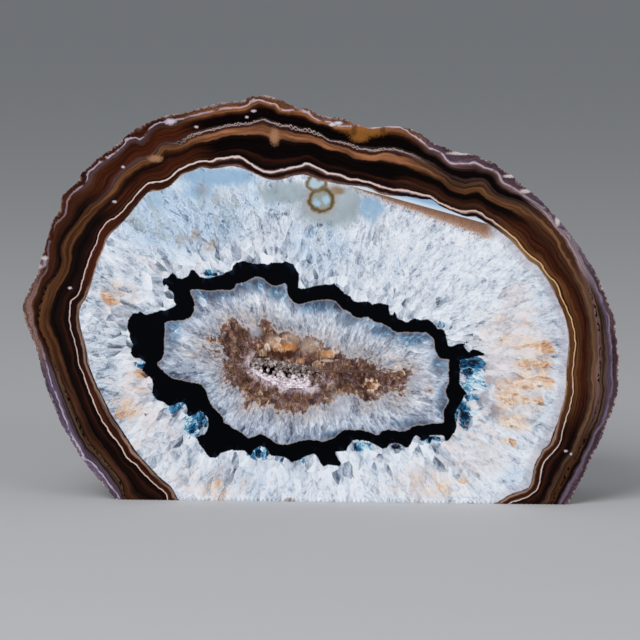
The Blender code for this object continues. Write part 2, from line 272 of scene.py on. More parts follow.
QUARTZ_EDGE = [
    (-33, -3), (-35.5, 0), (-37.5, 3.5), (-40.5, 6), (-43.2, 9), (-46, 12), (-48, 15), (-50.3, 18.5),
    (-52.5, 22), (-54.3, 25.5), (-56, 29), (-57.6, 33), (-58.2, 36), (-59, 40), (-59.9, 43),
    (-60.4, 46), (-60, 48.8), (-58.4, 51.5), (-57.2, 55), (-56.3, 58), (-55.4, 60.5), (-54.3, 63),
    (-52.8, 66.5), (-50.3, 69), (-48, 71.5), (-45.5, 74.5), (-42.8, 77.5), (-40, 78), (-37.3, 79.2),
    (-34.5, 81.8), (-32, 82.8), (-29.5, 83.8), (-27.3, 83.5), (-24.5, 83.8), (-22, 84.2),
    (-19.5, 83.7), (-16.5, 82.5), (-13, 81), (-10, 80.8), (-7, 81.7), (-4.2, 82.2), (-2.8, 81.9),
    (0, 80.8), (2.5, 80.3), (5, 79.8), (8, 79.5), (12, 79), (15, 77.5), (18, 77), (22, 76.8),
    (25, 76.2), (28, 76), (30, 74.5), (33, 73.2), (36, 72), (39, 71.8), (41, 70.5), (43, 69.5),
    (45, 68), (47.5, 66), (50, 63.3), (52, 61), (54, 59.8), (56, 57.2), (57.3, 55), (58.7, 52.2),
    (60, 49.5), (61.2, 46.5), (61.7, 44), (62, 41), (61.8, 38), (61.5, 35), (61.4, 31), (61.3, 29),
    (60.9, 26.5), (60.2, 24), (59.4, 21), (58.2, 18), (57.3, 15.3), (55.8, 14), (55, 12.3),
    (53.9, 10.5), (53.3, 8), (53, 6), (52.3, 4.3), (50, 3.3), (47.3, 2.3), (45.5, 1), (43.5, 0),
    (36, -3.4), (20, -4.5), (0, -4.8), (-20, -4.2),
]

# %% [markdown]
# The black agate in the middle is a ring. Its outside is a zigzag, because it grew on the points of
# the quartz, and its inside is smooth and scalloped as agate's own skin is. A smoky brown zone of
# quartz lies round the open pocket.

# %% The two sides of the black ring, the smoky zone and the mouth of the pocket
RING_OUTSIDE = [
    (-39.4, 55), (-39.2, 56), (-38, 56.2), (-37.5, 57), (-36.8, 57.5), (-36.1, 57), (-35.7, 56.2),
    (-34.5, 56), (-33.2, 56.5), (-32.6, 57.5), (-32.2, 58.3), (-31.2, 58.2), (-30.9, 57.5),
    (-30, 56.6), (-29, 56.2), (-27.5, 56.2), (-26, 56.7), (-24.5, 57.1), (-23, 57.9), (-22, 58.2),
    (-21.8, 59), (-21, 60), (-20, 60.3), (-19, 60.7), (-17.8, 60.3), (-16, 59.8), (-14, 60),
    (-13, 59.6), (-12, 60.2), (-9.5, 60.2), (-8.5, 60.6), (-7.5, 60.1), (-6.6, 60), (-6, 58.8),
    (-5.6, 58), (-5.1, 57.5), (-5.2, 56.5), (-5.3, 53.8), (-4.5, 53.7), (-3, 53.9), (-1.5, 54.4),
    (0, 54.6), (1.5, 54.9), (2.5, 54.7), (3.6, 55.1), (3.9, 54.5), (4.8, 54.2), (5.5, 53.3),
    (6.5, 52.4), (7.5, 52.1), (8, 51.2), (8.6, 50.6), (9.5, 50.4), (12.3, 50.7), (13.2, 49.9),
    (15, 50.3), (16.3, 50), (17.4, 49.8), (17.3, 48.7), (17.5, 47.8), (17.8, 46.9), (18.3, 47.3),
    (18.9, 48.4), (19.2, 47.3), (19.4, 46.4), (20.5, 46.1), (21.8, 45.3), (22.8, 46.1), (23.8, 46.5),
    (25, 46.1), (27, 46.3), (28, 45.7), (29, 44.6), (29.5, 43.8), (30.9, 43.9), (31.2, 43.2),
    (31.5, 42.5), (31.8, 41), (32, 39.6), (33, 39.5), (34, 40.1), (35.5, 40.3), (36.5, 40.8),
    (37.1, 41.2), (37.3, 40.7), (36.3, 40.1), (36, 39.6), (36.6, 38.8), (37.2, 38.1), (38.2, 38.9),
    (40, 38.4), (41.8, 37.5), (41.7, 37.3), (40, 37.2), (38.5, 37.1), (37.5, 36.6), (36.5, 36.5),
    (35.1, 36.2), (35, 33), (35, 31), (34.8, 30.8), (35.2, 29.6), (36, 28.8), (36.9, 27.5),
    (36.3, 27.3), (35.8, 26.5), (35.3, 25.3), (34.5, 24.2), (34, 23), (33.8, 22), (34.3, 20),
    (34.2, 19.2), (33.8, 18), (33, 17), (32.4, 16), (31.9, 15.3), (31.3, 16), (31.1, 17.2), (29, 17.2),
    (27.6, 17.2), (27, 16.3), (26, 15.7), (24.2, 17.2), (23.6, 16.6), (23, 15.3), (22.2, 14),
    (21.5, 13.9), (20.8, 14.5), (19.8, 14.9), (18.8, 15.2), (17.5, 14.8), (17, 14), (16, 13.6),
    (15, 14), (13.5, 14.9), (12.5, 15.4), (9.5, 15.8), (8.3, 15.7), (7.8, 14.8), (7, 14), (6.8, 13),
    (5.5, 12.9), (4, 12.8), (4.2, 11.8), (4.8, 10.8), (5.5, 9.8), (5, 9.1), (3.5, 9.3), (2, 9.5),
    (1, 8.8), (0.3, 9.8), (-0.5, 11.3), (-1.2, 12.3), (-2, 12), (-3.5, 11.5), (-5, 10.7),
    (-6.5, 10.2), (-7.3, 9.9), (-7.9, 10.8), (-9, 11.3), (-10.5, 11.5), (-11.8, 11.5), (-12.6, 11.9),
    (-12.9, 12.6), (-13.5, 13.5), (-15, 14), (-16.5, 13.2), (-17, 12), (-17.8, 11.5), (-18.3, 12.2),
    (-19, 12.8), (-22, 12.9), (-23.5, 12.6), (-24.8, 12.2), (-25.5, 11.3), (-26.3, 10.9),
    (-27.5, 10.9), (-28, 11.3), (-28.8, 12.4), (-29.5, 13.4), (-30.3, 14.4), (-30.5, 15.3),
    (-31.3, 15.8), (-30, 16.6), (-29, 16.8), (-28.2, 18), (-27.9, 19.5), (-28.2, 21), (-29, 22),
    (-30, 22.8), (-31.5, 21.9), (-33, 21.2), (-33.5, 22), (-33.2, 23), (-33.5, 24), (-34, 24.8),
    (-35.3, 24.9), (-36.8, 24.1), (-38, 23.8), (-38.7, 24.5), (-39.8, 25.1), (-41, 25.3),
    (-41.5, 26.3), (-42.2, 26.7), (-42, 28), (-41.9, 29.5), (-42.1, 30.6), (-43, 31.4), (-44, 32.3),
    (-44.6, 32.7), (-44.3, 33.5), (-43.7, 34.9), (-45.3, 36), (-46.5, 35.9), (-47.5, 37),
    (-47.3, 38.5), (-46.7, 39.2), (-47.3, 40), (-47.8, 41.5), (-47.6, 42.3), (-48.2, 43), (-48.3, 44),
    (-48, 45.5), (-47.5, 46.5), (-46.8, 47.3), (-45.6, 47.3), (-44.9, 47.9), (-44.3, 47.2),
    (-43.5, 46.9), (-42, 47.3), (-40.5, 47.8), (-39.3, 48.2), (-38.8, 47.9), (-37.8, 48.4),
    (-36.3, 49.2), (-36, 49.5), (-36.5, 50.3), (-36.6, 51), (-36.4, 52), (-37, 52.7), (-37.7, 53.2),
    (-38.2, 52.9), (-37.8, 53.9), (-38.3, 54.6), (-39, 54.2),
]
RING_INSIDE = [
    (-32.5, 53.3), (-30, 53.3), (-27.5, 53.1), (-25, 53.3), (-22.5, 53.2), (-21.5, 53.6),
    (-20.8, 54.8), (-20, 55), (-18.8, 55.2), (-17.5, 56), (-15.8, 56.7), (-14, 56.3), (-13, 55.3),
    (-12.3, 54.7), (-11, 54.4), (-9.5, 54.7), (-8.3, 55.4), (-8.1, 54), (-8.1, 53), (-7.7, 51.8),
    (-7, 50.8), (-6, 50), (-5.2, 49.8), (-4, 50), (-3, 50.4), (-1.5, 50.8), (0.5, 51), (2, 51.1),
    (3.3, 51), (4.5, 50.3), (5.2, 49.3), (6, 48.6), (7.3, 48.1), (8, 47.3), (9, 46.6), (10, 46.5),
    (12, 46.8), (12.8, 46.2), (14, 45.5), (15.5, 45.3), (16.5, 44.7), (17.5, 44.2), (18.3, 43.4),
    (19.3, 42.9), (21, 43.1), (25, 43), (26.8, 42.9), (27.6, 42.2), (28.5, 41.5), (28.7, 40.5),
    (28.7, 39), (29.2, 37.7), (30, 36.7), (31, 36.3), (32.3, 36.3), (32.3, 35), (32.2, 33),
    (32.3, 31.5), (32.1, 30), (31.6, 29), (31.5, 28), (31.8, 27), (32.3, 26), (32, 24.9), (31.3, 24),
    (31, 23), (31.1, 21.5), (31.1, 20.3), (30, 20.2), (28.5, 20.2), (27.3, 19.9), (26, 19.6),
    (24.5, 19.6), (23.3, 19.3), (22.3, 18.5), (21, 18.1), (19.8, 18), (18.3, 18.3), (17, 18.5),
    (15.8, 18.2), (15, 17.3), (14.5, 17), (13.5, 17.3), (12, 18), (10.5, 18.3), (9, 18.3),
    (7.5, 18.4), (6, 18.2), (5, 17.5), (3.8, 16.3), (2.5, 15.8), (1, 15.2), (-0.5, 15.6),
    (-2.5, 15.7), (-5, 15.3), (-7.5, 14.5), (-10, 14.4), (-11, 14.7), (-12, 15.5), (-13, 16.2),
    (-14, 16.9), (-15.2, 17), (-16.5, 16.4), (-17.5, 16), (-18.2, 16.1), (-19.3, 17.1), (-20.5, 17.8),
    (-21.8, 18.3), (-22.7, 19.3), (-24.2, 20), (-24.3, 21), (-24.9, 22), (-26, 22.9), (-27, 24),
    (-27.8, 25.2), (-28.1, 26.5), (-28.6, 28), (-29.5, 29.2), (-30.5, 29.8), (-32.3, 29.9),
    (-34.5, 30.4), (-36.8, 30.8), (-38, 31.5), (-39.5, 33), (-40.8, 34), (-40.8, 34.8),
    (-39.9, 35.5), (-39.3, 36.5), (-39, 38), (-38.9, 39.5), (-39.1, 41), (-38.7, 43), (-38.9, 44.3),
    (-38.8, 44.9), (-37.5, 45.4), (-35.5, 45.5), (-34.2, 45.6), (-33, 46), (-32, 46.8), (-31.5, 48),
    (-31.3, 49.5), (-31.6, 50.8), (-32.2, 52), (-32.4, 52.8),
]
SMOKY_ZONE = [
    (-24.5, 44.5), (-22.5, 46.2), (-20, 46.5), (-19, 45), (-17, 43.5), (-14, 46), (-11.5, 45),
    (-10, 43.5), (-8, 43.3), (-6, 43), (-4.5, 41), (-2.5, 41), (0, 40), (2, 39), (4.5, 38.5),
    (7, 36.5), (10.5, 36.5), (12.5, 36), (16, 33.5), (19, 33), (21, 34.5), (22.5, 34), (23, 32),
    (22.5, 30), (21, 28.5), (20.3, 26.5), (19, 28), (17, 27), (15, 27), (13, 25.8), (12, 25),
    (10.5, 25.2), (9, 26.5), (7, 27), (4.5, 27.2), (3.2, 26), (2.8, 24), (1.2, 24), (0, 25),
    (-1.5, 24.3), (-2.5, 24), (-3.5, 22.8), (-5, 22.3), (-7.5, 22.5), (-10, 22.5), (-12.5, 23.8),
    (-15, 24.5), (-17, 24.8), (-18.5, 23.2), (-18.8, 24), (-17.8, 25.5), (-18.5, 27), (-20, 28),
    (-21.5, 29), (-22.5, 30.3), (-24, 31), (-24.3, 34), (-23.7, 36), (-24, 37.5), (-27.5, 36.8),
    (-28, 37.5), (-25, 38.8), (-26.5, 39.5), (-28.3, 41), (-26, 41.5), (-24.3, 42.5),
]
POCKET = [
    (-17.6, 34.6), (-16.2, 36.2), (-13.2, 36.4), (-10.0, 35.4), (-6.8, 35.0), (-3.6, 34.5), (-1.0, 33.8),
    (1.2, 32.8), (1.7, 31.3), (-0.4, 29.9), (-3.2, 28.8), (-6.4, 28.4), (-9.4, 29.1), (-12.2, 30.2),
    (-14.8, 31.5), (-16.9, 33.0),
]
print("curves:", len(OUTLINE), "points round the outside,", len(RING_OUTSIDE), "round the ring")

# %% [markdown]
# ## Distances on the stone's net
#
# A signed distance to a curve, positive inside it, says which side of the curve a point is on and how
# far off, and a shader can draw lines and bands of any width from it. The band lines are rounded with
# a spline first, because straight pieces would show in a polished band.
#
# Between two neighbouring lines the bands follow both, so a point's place there is a fraction: 0 at
# the outside, 1 at the outer line, 2 at the middle one, 3 at the white one and 4 at the quartz.

# %% Measuring from a curve


def rounded(points, step=1.0):
    """A closed spline through the points, as many short pieces."""
    corners = np.array(points, dtype=float)
    before, after, later = (np.roll(corners, shift, axis=0) for shift in (1, -1, -2))
    pieces = []
    for a, b, c, d in zip(before, corners, after, later):
        count = max(1, round(np.linalg.norm(c - b) / step))
        t = (np.arange(count) / count)[:, None]
        bend = (2 * a - 5 * b + 4 * c - d) * t**2 + (3 * b - a - 3 * c + d) * t**3
        pieces.append(b + 0.5 * ((c - a) * t + bend))
    return np.concatenate(pieces)


def inside_distance(spots, curve):
    """Each spot's distance to a closed curve, positive inside it."""
    start = curve[None, :, :]
    end = np.roll(curve, -1, axis=0)[None, :, :]
    run = end - start
    length2 = (run**2).sum(axis=2) + 1e-12
    result = np.empty(len(spots))
    for first in range(0, len(spots), 4000):
        spot = spots[first:first + 4000, None, :]
        along = np.clip(((spot - start) * run).sum(axis=2) / length2, 0, 1)
        gap = spot - start - along[:, :, None] * run
        nearest = np.sqrt((gap**2).sum(axis=2).min(axis=1))
        above = start[:, :, 1] > spot[:, :, 1]
        crosses = above != (end[:, :, 1] > spot[:, :, 1])
        climb = np.where(run[:, :, 1] == 0, 1e-9, run[:, :, 1])
        where = start[:, :, 0] + run[:, :, 0] * (spot[:, :, 1] - start[:, :, 1]) / climb
        odd = (crosses & (where > spot[:, :, 0])).sum(axis=1) % 2
        result[first:first + 4000] = np.where(odd == 1, nearest, -nearest)
    return result


# %% [markdown]
# The back shows the same layers, cut 30 mm deeper in the stone, so they have shrunk with the rind and
# wandered a little. So the distances are taken at the place on the front where the same layer is
# found.

# %% The distances at every vertex
LAYER_DEPTHS = (0.0, 1.5, 5.5, 11.5, 14.0)  # how far in the five lines lie, on average


def pattern_places(places):
    """The place on the front face where the layer that each point lies in is found."""
    depth = np.clip((places[:, 1] - FRONT) / THICKNESS, 0, 1)
    stretch = 1 + RIND_LEAN * depth**1.5 / HALF_WIDTH
    spots = HEART + (places[:, [0, 2]] - HEART) * stretch[:, None]
    x, z = spots[:, 0].copy(), spots[:, 1].copy()
    spots[:, 0] += depth * (1.7 * np.sin(z / 8.3 + 1) + 0.9 * np.sin(z / 3.1 + x / 11))
    spots[:, 1] += depth * (1.4 * np.sin(x / 9.1 + 2) + 0.8 * np.sin(x / 3.7 + z / 12))
    return spots


def between(outer, inner):
    """0 on the outer curve and 1 on the inner one, from the distances to both."""
    return np.abs(outer) / (np.abs(outer) + np.abs(inner) + 1e-6)


def band_places(distances):
    """Where each spot lies in the banded skin, 0 to 4, and how wide its part of the skin is there."""
    outline, outer, middle, white, quartz = distances
    band, spread = between(outline, outer), np.abs(outline) + np.abs(outer)
    for count, (outside, inside) in enumerate(((outer, middle), (middle, white), (white, quartz)), 1):
        band = np.where(outside > 0, count + between(outside, inside), band)
        spread = np.where(outside > 0, np.abs(outside) + np.abs(inside), spread)
    return np.where(quartz > 0, 4 + quartz / 10, band), np.maximum(spread, 0.8)


spots = pattern_places(vertex_places(stone))
skin = [rounded(curve) for curve in (OUTLINE, OUTER_LINE, MIDDLE_LINE, WHITE_LINE, QUARTZ_EDGE)]
skin_distances = [inside_distance(spots, curve) for curve in skin]
band, spread = band_places(skin_distances)
readings = {
    "band": band,
    "spread": spread,
    "layer": np.interp(band, range(5), LAYER_DEPTHS),
    "outer_line": skin_distances[1],
    "middle_line": skin_distances[2],
    "white_line": skin_distances[3],
    "quartz_edge": skin_distances[4],
    "ring_outside": inside_distance(spots, np.array(RING_OUTSIDE)),
    "ring_inside": inside_distance(spots, np.array(RING_INSIDE)),
    "smoky": inside_distance(spots, np.array(SMOKY_ZONE)),
    "pocket": inside_distance(spots, np.array(POCKET)),
}
print("quartz reaches", round(readings["quartz_edge"].max(), 1), "mm in from its edge")

# %% [markdown]
# Five more readings steer the materials. The turn is the angle round the stone from the bottom middle,
# clockwise in degrees, and chooses the colours of the bands. The grain gives directions to the quartz:
# its crystals grow square to the edge that they started on. Elliptic coordinates do that smoothly,
# with one number that grows inwards and one that runs round, and there is a pair for the white quartz
# and one for the quartz inside the black ring.

# %% Turn and grain


def around_heart(spots):
    """The turn of each spot in degrees."""
    away = spots - HEART
    return np.degrees(np.arctan2(-away[:, 0], -away[:, 1])) % 360


def elliptic(spots, centre, focus):
    """How far out of a centre each spot is, and how far round it, both as if in millimetres."""
    flat = (spots - np.array(centre)) / focus
    value = np.arccosh((flat[:, 0] + 1j * flat[:, 1]).astype(complex))
    return value.real * focus * 1.4, value.imag * focus * 1.4


readings["turn"] = around_heart(spots)
readings["growth"], readings["around"] = elliptic(spots, HEART + (-2, -4), 30.0)
readings["inner_growth"], readings["inner_around"] = elliptic(spots, (-4.0, 33.0), 20.0)
print("growth from", readings["growth"].min().round(1), "to", readings["growth"].max().round(1), "mm")

# %% [markdown]
# Patches of colour are soft ovals, each with a place, two radii and a strength. The shader makes their
# edges ragged. Blue crystals stand round the black ring, a clear sky-blue chalcedony and a grey one
# fill hollows under the top bands, and iron has stained some quartz ochre. The white quartz itself is
# a little cooler, warmer or greyer from place to place.

# %% Patches
BLUE = [
    (-31.2, 19.8, 3, 3, 1), (-36, 23.4, 2.4, 1.6, 0.9), (-34, 27.5, 3.4, 1.6, 0.55),
    (-15, 12.4, 2.4, 1.6, 1), (19, 14.2, 1.8, 1, 1), (10.5, 14.2, 3, 1, 0.6), (37.8, 34, 3.4, 2.6, 1),
    (38.5, 30.5, 3.4, 2, 0.75), (36.4, 22, 2, 3.6, 0.9), (38.5, 26, 2.4, 2, 0.6),
    (30, 44.8, 1.3, 0.8, 0.8), (27.7, 16.2, 3.4, 0.9, 0.9), (-43.6, 43.6, 2, 1.6, 0.7),
    (-26.5, 57.4, 3.8, 0.9, 0.8), (-44.3, 34.4, 1.6, 1.2, 0.8), (-41, 27.5, 1.5, 2, 0.6),
    (-6, 10.5, 3, 1, 0.6), (-17, 54.8, 7, 2, 0.85), (-10.2, 52.8, 2.6, 2, 0.9), (-27, 52.3, 6, 1.8, 0.8),
    (-36.8, 43, 2.2, 4, 0.75), (-35, 34, 3.5, 2, 0.4), (0.8, 49.8, 6, 2, 0.95), (8, 46, 4, 1.8, 0.6),
    (16.5, 43.5, 4.5, 1.8, 0.8), (24, 41.5, 5, 2, 0.9), (30, 35, 2, 3, 0.7), (30.8, 25.5, 1.6, 4, 0.7),
    (23, 20, 5, 1.1, 0.75), (4, 17, 3.5, 1.1, 0.95), (-6, 16, 4, 1, 0.4),
]
SKY = [(-26, 81.5, 9, 2, 1), (-31, 79, 5, 3, 0.6), (12.5, 74, 3, 3.4, 0.8), (-40, 76, 5, 3, 0.5)]
CALM = [(3, 74.5, 8.5, 4.6, 1), (-8, 77.5, 7, 2.6, 0.8)]
OCHRE = [
    (46.5, 41.5, 1.6, 1.4, 0.9), (50.5, 40, 2.6, 2.2, 0.9), (54.5, 36, 3.2, 4, 1), (51, 33, 2.6, 4, 1),
    (48, 29.5, 3, 2.4, 1), (46.5, 25, 2.6, 3, 1), (53, 26, 2.6, 3, 0.8), (49, 21, 4, 2, 0.9),
    (47, 15.5, 1.6, 1.2, 0.9), (57, 31, 1.2, 2, 0.6), (45.5, 46.5, 1.6, 1.2, 0.7), (52, 45, 1.2, 1, 0.6),
    (-52, 52, 2.2, 2.2, 0.6), (-48.5, 23, 3.5, 2.6, 0.6), (-45, 33, 3, 4, 0.4),
    (-26, 2.8, 4.5, 2.5, 0.3), (32, 4, 6, 3, 0.3), (24, 6, 3, 2, 0.3), (-9.5, 39.5, 3.6, 1.8, 1),
    (2.8, 38, 2.4, 1.6, 0.9), (13, 29.8, 2.2, 1.5, 0.9), (-27.8, 39.5, 2.6, 1.6, 0.8),
    (7.5, 43, 0.8, 1.6, 0.6), (20.5, 34.5, 1.6, 1.4, 0.6), (-14, 26.5, 2, 1, 0.5),
    (28.5, 27.5, 1.6, 0.8, 0.7),
]
COOL = [
    (-36, 71, 17, 9, 1), (-18, 77, 14, 5, 0.8), (10, 8, 12, 5, 0.35), (57, 60, 4, 8, 0.4),
    (-54, 24, 4, 14, 0.4), (-14, 6, 12, 5, 0.4), (0, 64, 9, 7, 0.7), (50, 6, 5, 4, 0.6),
    (20, 60, 12, 6, 0.35),
]
WARM = [
    (-46, 28, 6, 10, 0.8), (-42, 18, 7, 6, 0.7), (-50, 50, 5, 7, 0.6), (48, 36, 9, 16, 1),
    (38, 16, 8, 10, 0.7), (26, 5, 10, 4, 0.7), (-27, 5, 12, 4, 0.8), (-30, 66, 5, 6, 0.5),
    (-20, 65, 4, 5, 0.4), (30, 66, 12, 4, 0.3), (-42, 62, 5, 6, 0.4),
]
SHADE = [
    (-54, 34, 4, 22, 0.9), (-14, 71, 12, 8, 0.7), (-31, 67, 4, 5, 0.6), (-36, 28, 4, 4, 0.7),
    (-34, 13, 4, 4, 0.4), (57, 50, 3, 18, 0.6), (3, 66, 10, 5, 0.4), (-24, 9, 8, 5, 0.8),
    (-46, 60, 5, 6, 0.5), (4, 60, 12, 6, 0.5), (-30, 38, 5, 7, 0.5), (-27, 31, 4, 5, 0.4),
    (57, 24, 3, 10, 0.2), (43, 24, 2, 4, 0.5),
]
DUSK = [
    (-21, 39, 3.4, 4, 1), (-21, 31, 2.6, 4, 0.6), (9, 32.5, 5, 4, 1), (16, 30, 3, 2.5, 0.6),
    (-9, 37.3, 3, 1.2, 1), (-14.5, 41.5, 3, 1.6, 0.5), (-6, 26, 5, 1.6, 0.5),
]


def patch_mask(spots, ovals):
    """1 well inside the strongest oval at each spot, falling to 0 outside them all."""
    mask = np.zeros(len(spots))
    for x, z, wide, high, strength in ovals:
        off = np.hypot((spots[:, 0] - x) / wide, (spots[:, 1] - z) / high)
        mask = np.maximum(mask, strength * np.clip(1.6 - off, 0, 1))
    return mask


patches = {"blue": BLUE, "sky": SKY, "calm": CALM, "ochre": OCHRE, "cool": COOL, "warm": WARM,
           "shade": SHADE, "dusk": DUSK}
for name, ovals in patches.items():
    readings[name] = patch_mask(spots, ovals)
print("patches:", {name: len(ovals) for name, ovals in patches.items()})

# %% [markdown]
# ## The rough rind
#
# The net has rounded the rim of the polished face, so the rim is first drawn out to the outline again,
# a little short of it here and there like small chips. Then the readings are stored on the vertices.
#
# The solid already has the rind's broad lumps. Three displacements add what the eye sees up close:
# knobbly lumps, pits, and a sandy crust. A vertex group holds the polished and sawn planes still, and
# every displacement goes inwards, so that the slice stays within its measured size. No vertex moves
# forwards or back, so that no lump breaks through a sawn face. They come after the distances, because
# those belong to the unmoved surface.

# %% Roughen the rind
RIND_START = 2.2  # how far from a sawn plane the rind has its full roughness
RIM_REACH = 1.6  # how far in from the outline a vertex still counts as the rim's
RIM_GAP = 0.12  # how far inside the outline the rim stays
CHIP = 0.5  # how deep the deepest chip in the rim is


def rind_share(places):
    """0 on the sawn planes and their edges, rising to 1 a couple of millimetres away from them."""
    from_front = places[:, 1] - FRONT
    from_back = BACK - places[:, 1]
    nearest = np.minimum(np.minimum(from_front, from_back), places[:, 2])
    return np.clip(nearest / RIND_START, 0, 1)


def rough_texture(name, kind, size, **settings):
    """A texture for a displacement, with lumps of this size."""
    texture = bpy.data.textures.new(name, kind)
    texture.noise_scale = size * MM
    for key, value in settings.items():
        setattr(texture, key, value)
    return texture


def front_edge(piece):
    """The vertices round the flat front, found as those whose faces do not all look forwards."""
    mesh = bmesh.new()
    mesh.from_mesh(piece.data)
    edge = [vertex.index for vertex in mesh.verts if abs(vertex.co.y / MM - FRONT) < 0.02
            and any(face.normal.y > -0.9 for face in vertex.link_faces)]
    mesh.free()
    return np.array(edge)


def sharpen_rim(places, edge, line):
    """Moves the front's edge out to the outline, a little short of it here and there like chips."""
    spots = places[edge][:, [0, 2]]
    reach = inside_distance(spots, line)
    rim = (reach < RIM_REACH) & (spots[:, 1] > ON_PLANE)
    edge, spots, reach = edge[rim], spots[rim], reach[rim]
    step = 0.05
    across = inside_distance(spots + (step, 0), line) - inside_distance(spots - (step, 0), line)
    upwards = inside_distance(spots + (0, step), line) - inside_distance(spots - (0, step), line)
    inwards = np.stack([across, upwards], axis=1) / (2 * step)
    chips = np.array([noise.noise(Vector((x * 0.9, 0.0, z * 0.9))) for x, z in spots])
    push = reach - RIM_GAP - np.clip(chips, 0, 1) * CHIP
    places[edge[:, None], [0, 2]] -= inwards * push[:, None]
    return push


places = vertex_places(stone)
pushes = sharpen_rim(places, front_edge(stone), skin[0])
print("rim moved by", pushes.min().round(2), "to", pushes.max().round(2), "mm at", len(pushes), "vertices")
put_vertices(stone, places)
in_hollow = inside_distance(places[:, [0, 2]], np.array(SMOKY_ZONE)) > 0
rind = rind_share(places) * ~in_hollow
readings["rind"] = np.where(places[:, 1] > FRONT + 0.2, 1.0, 0.0)
readings["rind"][(places[:, 1] > BACK - ON_PLANE) | (places[:, 2] < ON_PLANE) | in_hollow] = 0

for name, values in readings.items():
    layer = stone.data.attributes.new(name, "FLOAT", "POINT")
    layer.data.foreach_set("value", values.astype(np.float32))

group = stone.vertex_groups.new(name="rind")
for step in range(1, 11):
    chosen = np.flatnonzero(np.ceil(rind * 10) == step)
    group.add(chosen.tolist(), step / 10, "REPLACE")

relief = [
    (rough_texture("lumps", "CLOUDS", 5.0, noise_depth=2), 1.6),
    (rough_texture("pits", "VORONOI", 2.6, distance_metric="DISTANCE"), 0.9),
    (rough_texture("crust", "CLOUDS", 1.2, noise_depth=3), 0.7),
]
for texture, depth in relief:
    settings = {"texture": texture, "texture_coords": "LOCAL", "vertex_group": "rind"}
    apply_modifier(stone, "DISPLACE", **settings, strength=-depth * MM, mid_level=0.0)
roughened = vertex_places(stone)
roughened[:, 1] = places[:, 1]
roughened[:, 2] = np.maximum(roughened[:, 2], 0)
put_vertices(stone, roughened)
print("stone from", roughened.min(axis=0).round(2), "to", roughened.max(axis=0).round(2))

# %% [markdown]
# ## A short way to write shaders
#
# A node tree grows long when every sum is a node that is placed by hand. A small class wraps a socket,
# so that Python's own signs add the Math nodes, and one method adds any other node: first its settings,
# then the values or links of its sockets.

# %% Sockets with arithmetic


class Value:
    """A number that a node gives out. Arithmetic on it adds Math nodes."""

    def __init__(self, finish, socket):
        self.finish = finish
        self.socket = socket

    def other(self, name):
        """Another output of the same node."""
        return Value(self.finish, self.socket.node.outputs[name])

    def math(self, operation, *others):
        """A Math node on this number and the others."""
        inputs = dict(enumerate((self, *others)))
        return self.finish.node("ShaderNodeMath", {"operation": operation}, inputs)

    def rise(self, low, high):
        """0 below low and 1 above high, smoothly between. It falls where low is the greater."""
        settings = {"interpolation_type": "SMOOTHSTEP"}
        ends = {"From Min": min(low, high), "From Max": max(low, high)}
        turned = {"To Min": 0.0, "To Max": 1.0} if low < high else {"To Min": 1.0, "To Max": 0.0}
        return self.finish.node("ShaderNodeMapRange", settings, {"Value": self, **ends, **turned})

    def __add__(self, other):
        return self.math("ADD", other)

    def __mul__(self, other):
        return self.math("MULTIPLY", other)

    def __sub__(self, other):
        return self.math("SUBTRACT", other)

    def __rsub__(self, other):
        return self.finish.node("ShaderNodeMath", {"operation": "SUBTRACT"}, {0: other, 1: self})

    def __truediv__(self, other):
        return self.math("DIVIDE", other)

    def __abs__(self):
        return self.math("ABSOLUTE")

    __radd__ = __add__
    __rmul__ = __mul__


def tint(red, green, blue):
    """A colour as a paint chart gives it, 0 to 255, made linear."""
    parts = [part / 255 for part in (red, green, blue)]
    return tuple(p / 12.92 if p <= 0.04045 else ((p + 0.055) / 1.055) ** 2.4 for p in parts) + (1.0,)


